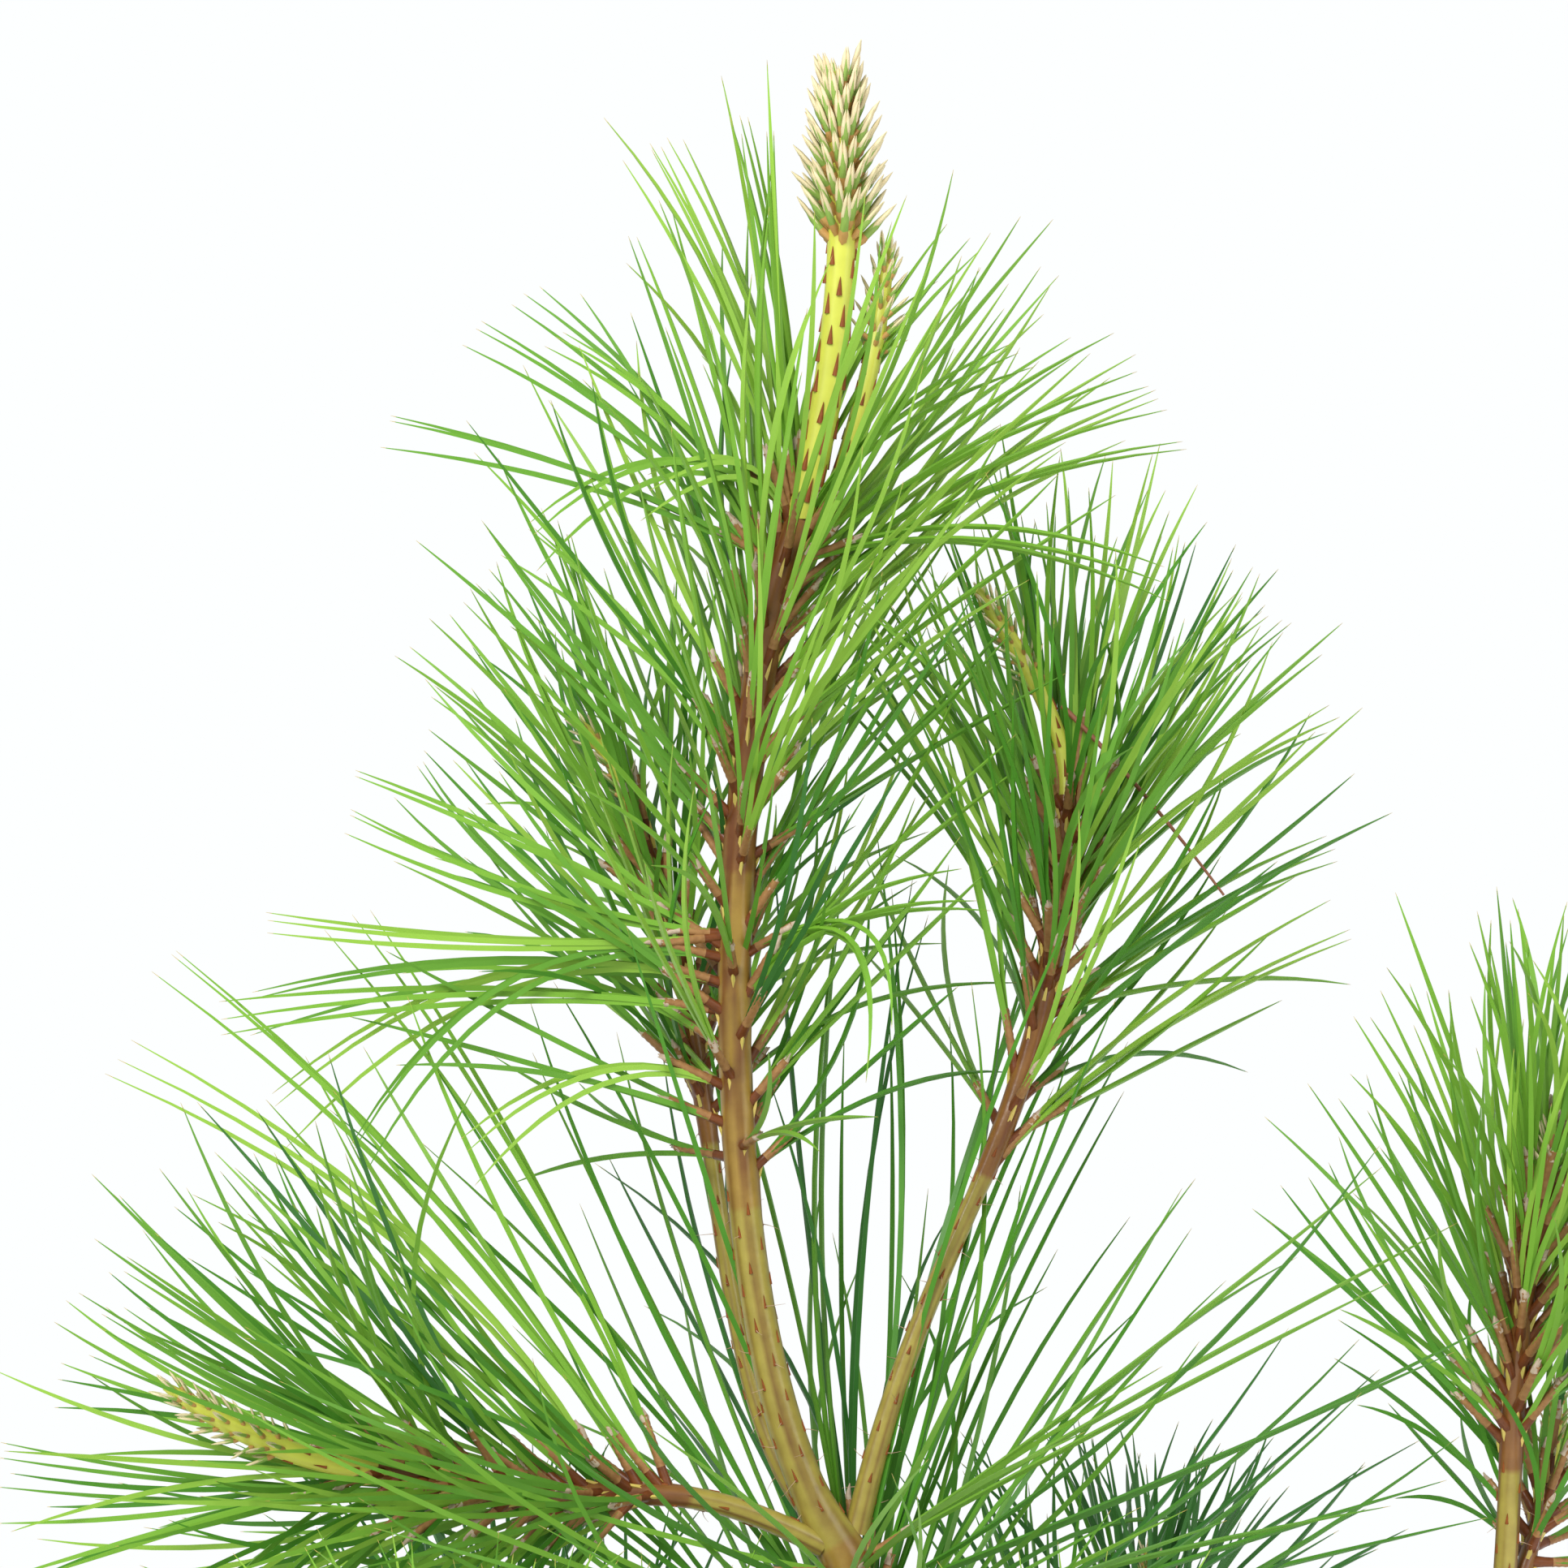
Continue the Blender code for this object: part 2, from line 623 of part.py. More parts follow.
LOWER_SHOOTS = [
    low_shoot("front_left", 231, 112, 252, 338, 61),
    low_shoot("back_right", 50, 106, 257, 352, 71),
    low_shoot("low_back", 134, 112, 250, 334, 81),
    low_shoot("front_right", 297, 100, 248, 324, 91),
]

# Stretches of trunk that bear needles, from the top down: heights, needles in a mass and masses
# round it, leans at the foot and top, lengths at the foot and top, and the range of pull
LEADER_MASSES = 6
LEVELS = {
    "leader_high": (503, 566, 22, 3, 60, 26, 92, 96, (-0.3, 0.25)),
    "leader_low": (437, 502, 20, 3, 84, 60, 78, 90, (-0.35, 0.3)),
    "whorl": (300, 350, 14, 3, 62, 30, 126, 138, (-0.2, 0.35)),
    "stem": (176, 238, 9, 2, 84, 62, 84, 98, (-0.5, 0.0)),
}

# On its right the leader's lower needles sweep up, where elsewhere they stand straight out
RIGHT_LOW_MASS = ("leader_low", 0)
RIGHT_LOW_SWEEP = (50, 44, (0.0, 0.5))


def trunk_places(top):
    """Where the trunk's rings lie: at every band of the strips that hug it, and between them."""
    places = [FLARE_HEIGHT * share for share in (0.0, 0.12, 0.35, 0.65, 1.0)]
    for low, high, *_ in reversed(LEVELS.values()):
        start, end = TRUNK.place_at_height(low), TRUNK.place_at_height(high)
        steps = max(1, math.ceil((start - places[-1]) / TRUNK_RING_STEP))
        places.extend(np.linspace(places[-1], start, steps + 1)[1:])
        places.extend(np.linspace(start, end, SLEEVE_BANDS)[1:])
    steps = math.ceil((top - places[-1]) / TRUNK_RING_STEP)
    places.extend(np.linspace(places[-1], top, steps + 1)[1:])
    return places


def trunk_masses():
    """The masses that hug the trunk: three round each half of the leader, and two sets lower."""
    made = []
    for number, (name, level) in enumerate(LEVELS.items()):
        low, high, count, sectors, *leans_and_lengths, pull = level
        start, end = TRUNK.place_at_height(low), TRUNK.place_at_height(high)
        for k in range(sectors):
            span = 2 * math.pi / sectors
            middle = k * span
            sector = (middle - span / 2 + SECTOR_GAP, middle + span / 2 - SECTOR_GAP)
            rule = Needles(start, end, count, 100 + 10 * number + k, *leans_and_lengths, pull)
            if (name, k) == RIGHT_LOW_MASS:
                rule.lean_foot, rule.lean_top, rule.pull = RIGHT_LOW_SWEEP
            made.append(TrunkMass(f"{name}_foliage_{k + 1}", rule, sector))
    return made


def add_pot(plastic, mix):
    """The pot, open at the top with drain slots round its foot, and the mix that fills it."""
    neck_inside = POT_NECK_RADIUS - POT_WALL
    foot_inside = POT_FOOT_RADIUS - POT_WALL + 0.3
    rim_low, rim_top = POT_NECK_HEIGHT + 1.5, POT_HEIGHT
    profile = [(0, 0), (POT_FOOT_RADIUS - 2.0, 0), (POT_FOOT_RADIUS, 2.0),
               (POT_NECK_RADIUS, POT_NECK_HEIGHT), (POT_RIM_RADIUS, rim_low),
               (POT_RIM_RADIUS, rim_top - 2.5), (POT_RIM_RADIUS - 1.2, rim_top),
               (POT_NECK_RADIUS + 1.0, rim_top), (POT_NECK_RADIUS, rim_top - 2.0),
               (neck_inside, POT_NECK_HEIGHT), (foot_inside, POT_FLOOR), (0, POT_FLOOR)]
    pot = turned("pot", profile, POT_SIDES)
    slots = []
    for k in range(DRAIN_SLOTS):
        turn = 2 * math.pi * (k + 0.5) / DRAIN_SLOTS
        centre = (POT_FOOT_RADIUS * math.cos(turn), POT_FOOT_RADIUS * math.sin(turn), 0.0)
        slots.append(box(f"drain_{k}", centre, (DRAIN_WIDTH, DRAIN_WIDTH, 2 * DRAIN_HEIGHT), turn))
    dressed(fused(pot, slots, operation="DIFFERENCE"), plastic)
    gap = CLEAR + 0.1
    profile = [(0, POT_FLOOR + CLEAR), (foot_inside - gap, POT_FLOOR + CLEAR),
               (neck_inside - gap, POT_NECK_HEIGHT - SOIL_DIP), (POT_NECK_RADIUS * 0.8, SOIL_TOP - 1.0),
               (16.0, SOIL_TOP), (0, SOIL_TOP)]
    dressed(turned("potting_mix", profile, POT_SIDES), mix)


def main():
    """Builds the pot, then the wood, then the masses in the room that is left."""
    for thing in list(bpy.data.objects):
        bpy.data.objects.remove(thing, do_unlink=True)
    plastic = material("pot_plastic", (0.03, 0.03, 0.032), 0.5)
    mix = material("potting_mix", (0.05, 0.032, 0.02), 0.95)
    bark = material("bark", (0.20, 0.11, 0.04), 0.7)
    foliage = material("needles", (0.15, 0.34, 0.07), 0.5)
    new_growth = material("candle", (0.52, 0.5, 0.16), 0.6)
    add_pot(plastic, mix)

    space = Space()
    head = TRUNK.place_at_height(CANDLE_HEAD_HEIGHT)
    dressed(tube("trunk", TRUNK, trunk_places(head), TRUNK_SIDES, level_foot=True), bark)
    space.add("trunk", *TRUNK.capsules(0.0, head))
    add_candle("leader_candle", TRUNK, np.linspace(head + CLEAR, TRUNK.length, 9), head + 2.0,
               LEADER_BUD_REACH, LEADER_BUDS, space, new_growth)
    start = clear_start(SIDE_CANDLE, TRUNK)
    add_candle("side_candle", SIDE_CANDLE, np.linspace(start, SIDE_CANDLE.length, 12),
               SIDE_CANDLE_HEAD * SIDE_CANDLE.length, BUD_REACH, SIDE_BUDS, space, new_growth)

    for shoot in UPPER_SHOOTS + LOWER_SHOOTS:
        shoot.build_bough(space, bark)
    masses = trunk_masses()
    for mass in masses:
        mass.keep_room(space)
    for mass in [*masses[:LEADER_MASSES], *UPPER_SHOOTS, *masses[LEADER_MASSES:], *LOWER_SHOOTS]:
        mass.build_mass(space, foliage)


main()
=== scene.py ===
"""The looks of a young loblolly pine in a plain nursery pot.

Bark with relief follows the trunk and boughs, and bundles of three needles grow from them by
the same rule as the solids' needles. Sizes are in millimetres and are turned to metres when a
mesh is made. +Z is up and the origin is the middle of the pot's underside.
"""

from __future__ import annotations

import logging
import math
from collections import defaultdict
from collections.abc import Sequence
from dataclasses import dataclass, field
from enum import Enum

import bpy
import numpy as np
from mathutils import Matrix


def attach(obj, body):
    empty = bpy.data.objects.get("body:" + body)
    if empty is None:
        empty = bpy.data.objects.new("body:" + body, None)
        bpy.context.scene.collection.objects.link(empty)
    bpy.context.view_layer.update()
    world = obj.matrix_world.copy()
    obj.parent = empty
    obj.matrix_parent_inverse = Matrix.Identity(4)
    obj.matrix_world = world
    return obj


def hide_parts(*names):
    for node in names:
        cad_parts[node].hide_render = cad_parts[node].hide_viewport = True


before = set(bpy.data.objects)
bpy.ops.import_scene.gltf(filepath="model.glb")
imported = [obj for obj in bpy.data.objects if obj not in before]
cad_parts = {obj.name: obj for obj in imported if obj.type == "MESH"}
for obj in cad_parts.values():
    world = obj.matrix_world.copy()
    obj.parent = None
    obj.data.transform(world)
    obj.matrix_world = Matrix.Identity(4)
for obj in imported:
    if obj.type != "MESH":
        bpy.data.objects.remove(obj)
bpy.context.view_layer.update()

log = logging.getLogger("pine")

Vector = np.ndarray
Mesh = bpy.types.Mesh
Material = bpy.types.Material
Object = bpy.types.Object
Colour = tuple[float, float, float]
Place = tuple[float, float, float]
Face = tuple[int, ...]
Random = np.random.Generator

MM = 0.001
FULL_TURN = 2 * math.pi
GOLDEN_TURN = math.radians(137.5)
BUNDLE = 3
MARKED_SEED, DRESS_SEED, MIX_SEED = 5, 7, 12
UP = np.array([0.0, 0.0, 1.0])
ACROSS = np.array([1.0, 0.0, 0.0])
BACK = np.array([0.0, 1.0, 0.0])
BODY = "root"

# Heights that the trunk and the pot are laid out by, and the pot's inside radius at its rim
SOIL_TOP = 150.0
WHORL_HEIGHT = 360.0
CANDLE_FOOT_HEIGHT = 572.5
TIP_HEIGHT = 669.5
LOW_FOLIAGE_TOP = 374.0
RIM_TOP = 166.0
RIM_INSIDE = 79.0

# How far needles stay over the rim and the mix, and inside the rim
CLEAR_OVER = 2.0
CLEAR_INSIDE = 3.0

# The photograph: its side in pixels, its scale at the trunk, its middle as X and Z, and how far
# off the camera stands
PHOTO_SIDE = 1932
PIXELS_PER_MM = 6.0
VIEW_MIDDLE = (-12.333, 518.167)
VIEW_DISTANCE = 1100.0
SENSOR_WIDTH = 36.0


class Slot(Enum):
    """The record's material slots."""

    BARK = "bark"
    NEEDLES = "needles"
    CANDLE = "candle"
    POT = "pot"
    MIX = "mix"


def unit(vector: Vector) -> Vector:
    """The vector, or each row of vectors, at length one."""
    return vector / np.linalg.norm(vector, axis=-1, keepdims=True)


def blend(low: float, high: float, share: float) -> float:
    """The value at a share of the way from low to high."""
    return low + (high - low) * share


def swing(turn: float, first: Vector, second: Vector) -> Vector:
    """The way at a turn from a first way towards a second one that is square to it."""
    return math.cos(turn) * first + math.sin(turn) * second


def column(*values: float) -> Vector:
    """The values as a column, which spreads a direction along a line."""
    return np.array(values, float)[:, None]


def arc(start: Vector, handle: Vector, end: Vector, stations: int) -> Vector:
    """Points along the quadratic curve from start to end that its handle bends."""
    tau = np.linspace(0, 1, stations)[:, None]
    return (1 - tau) ** 2 * start + 2 * (1 - tau) * tau * handle + tau ** 2 * end


def solid(name: str, points: Sequence, faces: list[Face]) -> Mesh:
    """A mesh of points in millimetres and the faces between them."""
    mesh = bpy.data.meshes.new(name)
    mesh.from_pydata((np.array(points, float) * MM).tolist(), [], faces)
    return mesh


def bands(rings: Sequence[range], sides: int) -> list[Face]:
    """The faces between each ring of vertices and the next. A ring may be a single one."""
    faces = []
    for low, high in zip(rings, rings[1:]):
        for k in range(sides):
            n = (k + 1) % sides
            around = (low[k % len(low)], low[n % len(low)], high[n % len(high)],
                      high[k % len(high)])
            faces.append(tuple(dict.fromkeys(around)))
    return faces


def dressed(mesh: Mesh, finish: Material, sharp: float | None = None) -> Mesh:
    """The mesh in a material, shaded smooth but for edges over an angle in degrees."""
    mesh.materials.clear()
    mesh.materials.append(finish)
    mesh.shade_smooth()
    if sharp is not None:
        mesh.set_sharp_from_angle(angle=math.radians(sharp))
    return mesh


def linked(name: str, data: bpy.types.ID) -> Object:
    """A new object in the scene that holds some data."""
    made = bpy.data.objects.new(name, data)
    bpy.context.scene.collection.objects.link(made)
    return made


class Limb:
    """A tapering limb along a chain of cubic curves, measured by length from its foot."""

    SAMPLES = 48
    STEEP = 0.8

    def __init__(self, handles: Sequence, radii: Sequence[tuple[float, float]]) -> None:
        """Lays out the limb.

        Args:
            handles: The curves' handles in millimetres: each curve starts where the last ends.
            radii: Pairs of length share and radius.
        """
        points: list[Vector] = []
        t = np.linspace(0.0, 1.0, self.SAMPLES)[:, None]
        s = 1 - t
        for start in range(0, len(handles) - 1, 3):
            a, b, c, d = (np.array(handle, float) for handle in handles[start:start + 4])
            piece = s ** 3 * a + 3 * s ** 2 * t * b + 3 * s * t ** 2 * c + t ** 3 * d
            points.extend(piece if not points else piece[1:])
        self.points = np.array(points)
        steps = np.linalg.norm(np.diff(self.points, axis=0), axis=1)
        self.lengths = np.concatenate(([0.0], np.cumsum(steps)))
        self.length = float(self.lengths[-1])
        self.knots = [share * self.length for share, _ in radii]
        self.radii = [radius for _, radius in radii]
        self.alongs = unit(np.gradient(self.points, axis=0))
        first = self.alongs[0]
        reference = UP if abs(first @ UP) < self.STEEP else ACROSS
        side = unit(reference - (reference @ first) * first)
        sides = []
        for axis in self.alongs:
            side = unit(side - (side @ axis) * axis)
            sides.append(side)
        self.sides = np.array(sides)

    def _read(self, table: Vector, place: float) -> Vector:
        """One row of a sampled table at a length along the limb."""
        return np.array([np.interp(place, self.lengths, table[:, k]) for k in range(3)])

    def point(self, place: float) -> Vector:
        """The middle of the limb at a length along it."""
        return self._read(self.points, place)

    def axes(self, place: float) -> tuple[Vector, Vector, Vector]:
        """Two sideways unit vectors and the axis at a length along the limb."""
        axis = unit(self._read(self.alongs, place))
        side = self._read(self.sides, place)
        side = unit(side - (side @ axis) * axis)
        return side, np.cross(axis, side), axis

    def outward(self, place: float, turn: float) -> tuple[Vector, Vector]:
        """The way out of the limb at a length and a turn round it, and the limb's axis there."""
        side, over, axis = self.axes(place)
        return swing(turn, side, over), axis

    def radius(self, place: float) -> float:
        """The limb's radius at a length along it."""
        return float(np.interp(place, self.knots, self.radii))

    def inside(self, place: float, outward: Vector, share: float) -> Vector:
        """The point at a share of the radius, at a length along the limb and a way out of it."""
        return self.point(place) + outward * self.radius(place) * share

    def place_at_height(self, height: float) -> float:
        """The length along a rising limb where it reaches a height."""
        return float(np.interp(height, self.points[:, 2], self.lengths))


TRUNK = Limb(
    [(0, 0, SOIL_TOP + 0.3), (-7, 3, 215), (13, -3, 300), (0, 0, WHORL_HEIGHT),
     (-29, 0, 400), (-27.5, 0, 524), (-9.2, 0, CANDLE_FOOT_HEIGHT),
     (-0.3, -1, 603.5), (1.2, -1.4, 636), (-1.7, -2, TIP_HEIGHT)],
    [(0.0, 9.0), (0.006, 8.0), (0.026, 6.3), (0.18, 5.3), (0.199, 6.0), (0.222, 5.1), (0.38, 4.4),
     (0.401, 5.1), (0.43, 3.8), (0.5, 3.4), (0.75, 3.3), (0.8, 3.0), (0.86, 3.1), (0.92, 2.9),
     (0.94, 2.9), (0.965, 2.6), (0.985, 1.9), (1.0, 0.6)])
SIDE_CANDLE = Limb(
    [(-6.8, 1.6, 567.5), (1.5, 2.8, 584), (8.8, 5, 613), (9.3, 6, 632)],
    [(0.0, 1.7), (0.55, 1.9), (0.66, 1.8), (0.85, 1.4), (1.0, 0.5)])
RIGHT_LIMB = Limb(
    [(2.5, 2, 364), (17.5, 8.5, 431), (44.3, 11.4, 443), (46.8, 18, 515),
     (47.1, 20.7, 532.6), (35.7, 21.8, 547), (26.7, 24, 561.5)],
    [(0.0, 2.6), (0.1, 2.3), (0.35, 1.9), (0.42, 2.3), (0.74, 2.2), (0.78, 1.7), (0.88, 1.8),
     (0.93, 1.8), (0.97, 1.5), (1.0, 0.5)])
BACK_LEFT_LIMB = Limb(
    [(-3.0, 5, 364), (-31, 17, 385.6), (-23, 25, 471), (-44.7, 36, 512),
     (-46, 37, 521), (-52, 39, 527.5), (-58.3, 40, 533.4)],
    [(0.0, 2.3), (0.15, 2.0), (0.45, 1.8), (0.5, 2.1), (0.8, 1.9), (0.87, 1.7), (0.92, 1.7),
     (0.97, 1.3), (1.0, 0.5)])
LEFT_LIMB = Limb(
    [(-4.5, -2, 362), (-41.7, -10, 383), (-46.4, -9, 366), (-89.5, -16, 379.5),
     (-108, -18, 379), (-124.5, -22.7, 388.4), (-139.2, -24, 399)],
    [(0.0, 2.4), (0.2, 2.2), (0.25, 2.3), (0.6, 2.2), (0.76, 2.2), (0.85, 2.1), (0.93, 1.7),
     (1.0, 0.5)])
FAR_RIGHT_LIMB = Limb(
    [(3, -1, 256), (46, -4, 273), (126, -6, 286), (133.7, -10, 349),
     (135.5, -13, 376.5), (135, -15, 404), (138.6, -22, 431),
     (140, -25, 438), (142, -27, 446), (143, -28, 453)],
    [(0.0, 3.4), (0.3, 2.7), (0.62, 2.4), (0.92, 2.3), (0.95, 1.8), (0.97, 1.6), (1.0, 0.5)])
FAR_SIDE_LIMB = Limb(
    [(137, -10, 355), (141, -6, 364), (146, 1, 376), (147.5, 5, 398)],
    [(0.0, 1.7), (0.5, 1.6), (0.6, 1.7), (0.85, 1.3), (1.0, 0.5)])
LOW_RADII = [(0.0, 3.2), (0.3, 2.6), (0.6, 2.2), (0.86, 2.1), (0.9, 1.7), (0.94, 1.6), (1.0, 0.5)]

# Shares of a low bough's reach and rise at the handles of its curves
LOW_EARLY = (0.3, 0.12)
LOW_CROOK = (0.62, 0.2)
LOW_KNEE = (0.88, 0.5)
LOW_BENDS = (0.2, 0.15)
LOW_FOOT_OUT = 4.0


def low_limb(azimuth: float, reach: float, foot_height: float, tip_height: float) -> Limb:
    """A bough of the lower whorl: out from the trunk, then up.

    Args:
        azimuth: Degrees round from +X.
        reach: How far out its tip stands.
        foot_height: Where it leaves the trunk.
        tip_height: The height of its tip.

    Returns:
        The limb.
    """
    way = swing(math.radians(azimuth), ACROSS, BACK)
    foot = TRUNK.point(TRUNK.place_at_height(foot_height)) + way * LOW_FOOT_OUT
    rise = tip_height - foot_height
    crook, knee = (way * reach * out + UP * (foot_height + up * rise)
                   for out, up in (LOW_CROOK, LOW_KNEE))
    tip = way * reach + UP * tip_height
    early = foot + way * reach * LOW_EARLY[0] + UP * rise * LOW_EARLY[1]
    after = knee + unit(knee - crook) * rise * LOW_BENDS[0]
    before = tip - UP * rise * LOW_BENDS[1]
    return Limb([foot, early, crook, knee, after, before, tip], LOW_RADII)


@dataclass(frozen=True)
class Zone:
    """A stretch of limb that bears bundles, with leans in degrees off the limb's axis.

    Pull is the range of the needles' lift, and highest the height that they stay under. Where
    given, right_sweep takes the place of the leans and the pull at the right, and front_lean is
    the least lean towards the viewer.
    """

    start: float
    end: float
    count: int
    seed: int
    lean_foot: float
    lean_top: float
    length_foot: float
    length_top: float
    pull: tuple[float, float]
    highest: float = TIP_HEIGHT + 4.0
    right_sweep: tuple[float, float, tuple[float, float]] | None = None
    front_lean: float = 0.0
    least_lean: float = 8.0
    rightward: float = 0.35
    frontward: float = -0.15

    def rule(self, share: float, outward: Vector) -> tuple[float, float, tuple[float, float]]:
        """What a bundle follows at its place in the zone.

        Args:
            share: How far up the zone it stands.
            outward: The way it faces from the limb.

        Returns:
            Its mean lean, its least lean and its range of pull.
        """
        foot, top, pull = self.lean_foot, self.lean_top, self.pull
        if self.right_sweep and outward[0] > self.rightward:
            foot, top, pull = self.right_sweep
        least = self.front_lean if outward[1] < self.frontward else self.least_lean
        return blend(foot, top, share), least, pull


@dataclass(frozen=True)
class Shoot:
    """One limb with its zones of needles, its candle, and the solids that it stands for."""

    name: str
    limb: Limb
    zones: list[Zone]
    candle_start: float
    head_start: float
    bud_count: int
    bud_length: float
    wood_nodes: tuple[str, ...]
    mass_nodes: tuple[str, ...]


def trunk_zone(low: float, high: float, *rule: float, **more: float) -> Zone:
    """A zone of the trunk between two heights."""
    return Zone(TRUNK.place_at_height(low), TRUNK.place_at_height(high), *rule, **more)


def low_shoot(name: str, azimuth: float, reach: float, foot: float, tip: float, seed: int) -> Shoot:
    """A shoot of the lower whorl, by one rule for every side."""
    limb = low_limb(azimuth, reach, foot, tip)
    zone = Zone(limb.length - 78.0, limb.length - 20.0, 38, seed, 64, 20, 90, 80, (-0.25, 0.3),
                LOW_FOLIAGE_TOP)
    return Shoot(name, limb, [zone], limb.length - 19.0, limb.length - 13.0, 34, 4.5,
                 (f"{name}_bough",), (f"{name}_foliage",))


def numbered(name: str, count: int) -> tuple[str, ...]:
    """A node's name with each number from 1 to count."""
    return tuple(f"{name}_{k + 1}" for k in range(count))


SHOOTS = [
    Shoot("leader", TRUNK,
          [trunk_zone(503, 568, 40, 100, 50, 20, 90, 96, (-0.2, 0.3)),
           trunk_zone(437, 503, 24, 110, 72, 48, 78, 90, (-0.3, 0.3),
                      right_sweep=(44, 34, (0.0, 0.5))),
           trunk_zone(312, 358, 48, 120, 54, 16, 138, 158, (-0.1, 0.35), front_lean=74),
           trunk_zone(176, 238, 22, 130, 84, 62, 84, 98, (-0.5, 0.0))],
          TRUNK.place_at_height(CANDLE_FOOT_HEIGHT), TRUNK.place_at_height(628.0), 104, 10.6,
          ("trunk",), (*numbered("leader_high_foliage", 3), *numbered("leader_low_foliage", 3),
                       *numbered("whorl_foliage", 3), *numbered("stem_foliage", 2))),
    Shoot("side_candle", SIDE_CANDLE, [], 0.0, 0.62 * SIDE_CANDLE.length, 34, 6.6, (), ()),
    Shoot("right", RIGHT_LIMB,
          [Zone(84, 116, 9, 21, 50, 38, 84, 84, (-0.1, 0.4)),
           Zone(116, 160, 44, 22, 36, 8, 86, 76, (-0.1, 0.4), front_lean=42)],
          160.0, 184.0, 34, 5.8, ("right_bough",), ("right_foliage",)),
    Shoot("back_left", BACK_LEFT_LIMB, [Zone(92, 155, 36, 31, 50, 14, 82, 72, (-0.15, 0.4))],
          155.0, 160.0, 34, 5.6, ("back_left_bough",), ("back_left_foliage",)),
    Shoot("left", LEFT_LIMB, [Zone(36, 96, 52, 41, 48, 16, 108, 82, (-0.2, 0.45), front_lean=50)],
          94.0, 112.0, 46, 6.2, ("left_bough",), ("left_foliage",)),
    Shoot("far_right", FAR_RIGHT_LIMB, [Zone(206, 260, 46, 51, 48, 10, 76, 70, (-0.1, 0.4))],
          260.0, 263.0, 32, 5.6, ("far_right_bough_1", "far_right_bough_2"),
          ("far_right_foliage",)),
    Shoot("far_side", FAR_SIDE_LIMB, [Zone(5, 24, 16, 57, 60, 30, 62, 58, (-0.1, 0.3))],
          24.0, 25.0, 34, 4.8, (), ("far_side_foliage",)),
    low_shoot("front_left", 231, 112, 252, 338, 61),
    low_shoot("back_right", 50, 106, 257, 352, 71),
    low_shoot("low_back", 134, 112, 250, 334, 81),
    low_shoot("front_right", 297, 100, 248, 324, 91),
]


@dataclass(frozen=True)
class MarkedBundle:
    """A bundle that stands out in the photograph, by where it leaves its limb and its tip there.

    Pixels are the photograph's, depth is the tip's distance behind the trunk, and bow is how
    far its course bulges to the right of the way from root to tip, as a share of its length.
    """

    limb: Limb
    root: tuple[float, float]
    tip: tuple[float, float]
    depth: float
    bow: float


# Each limb's marked bundles: the root's pixel, the tip's pixel, depth and bow
MARKED_BUNDLES = [MarkedBundle(limb, *mark) for limb, marks in {
    TRUNK: (
        ((955, 700), (487, 520), -18, 0.04), ((950, 720), (592, 408), -12, 0.06),
        ((945, 690), (650, 365), 6, 0.05), ((940, 740), (690, 418), -4, 0.12),
        ((960, 650), (806, 190), -8, 0.04), ((965, 640), (825, 175), 10, 0.05),
        ((970, 640), (913, 148), 5, 0.03), ((985, 640), (945, 168), -10, -0.02),
        ((985, 660), (1192, 297), 8, -0.06), ((980, 690), (1250, 437), -10, -0.10),
        ((975, 720), (1395, 460), -14, -0.06), ((970, 760), (1418, 483), 4, -0.04),
        ((960, 800), (1450, 545), -8, -0.10), ((970, 700), (1428, 716), -22, -0.10),
        ((960, 640), (662, 655), -16, 0.22), ((955, 660), (803, 603), -12, 0.30),
        ((920, 950), (655, 655), 10, 0.03), ((905, 1150), (437, 1007), -14, -0.05),
        ((905, 1150), (337, 1135), -22, -0.03), ((900, 1250), (280, 1255), -16, 0.04),
        ((900, 1200), (315, 1230), 10, 0.06), ((905, 1200), (345, 1358), -8, 0.14),
        ((905, 1180), (440, 1410), -20, 0.18), ((920, 1180), (1070, 1305), -26, -0.42),
        ((915, 1330), (580, 1415), -18, 0.16), ((915, 1250), (1200, 1110), -18, -0.14),
    ),
    RIGHT_LIMB: (
        ((1305, 1130), (1550, 757), 10, -0.10), ((1300, 1150), (1575, 768), -4, -0.08),
        ((1300, 1180), (1520, 900), 18, -0.10), ((1255, 1330), (1640, 1048), 26, -0.08),
        ((1230, 1460), (1657, 1148), 22, -0.06),
    ),
    BACK_LEFT_LIMB: (
        ((820, 1180), (517, 948), 38, -0.10), ((810, 1130), (565, 868), 30, -0.03),
    ),
    LEFT_LIMB: (
        ((760, 1850), (155, 1310), -30, 0.08), ((790, 1850), (220, 1183), -10, 0.05),
        ((600, 1830), (5, 1797), -20, -0.03), ((830, 1840), (440, 1135), 12, 0.04),
        ((640, 1830), (130, 1640), -40, -0.04),
    ),
}.items() for mark in marks]

# The one dead needle: pixel and depth of its root, of the bend's handle and of its tip
DEAD_COURSE = (((1309, 870), 19.0), ((1408, 968), 8.0), ((1508, 1103), 8.0))


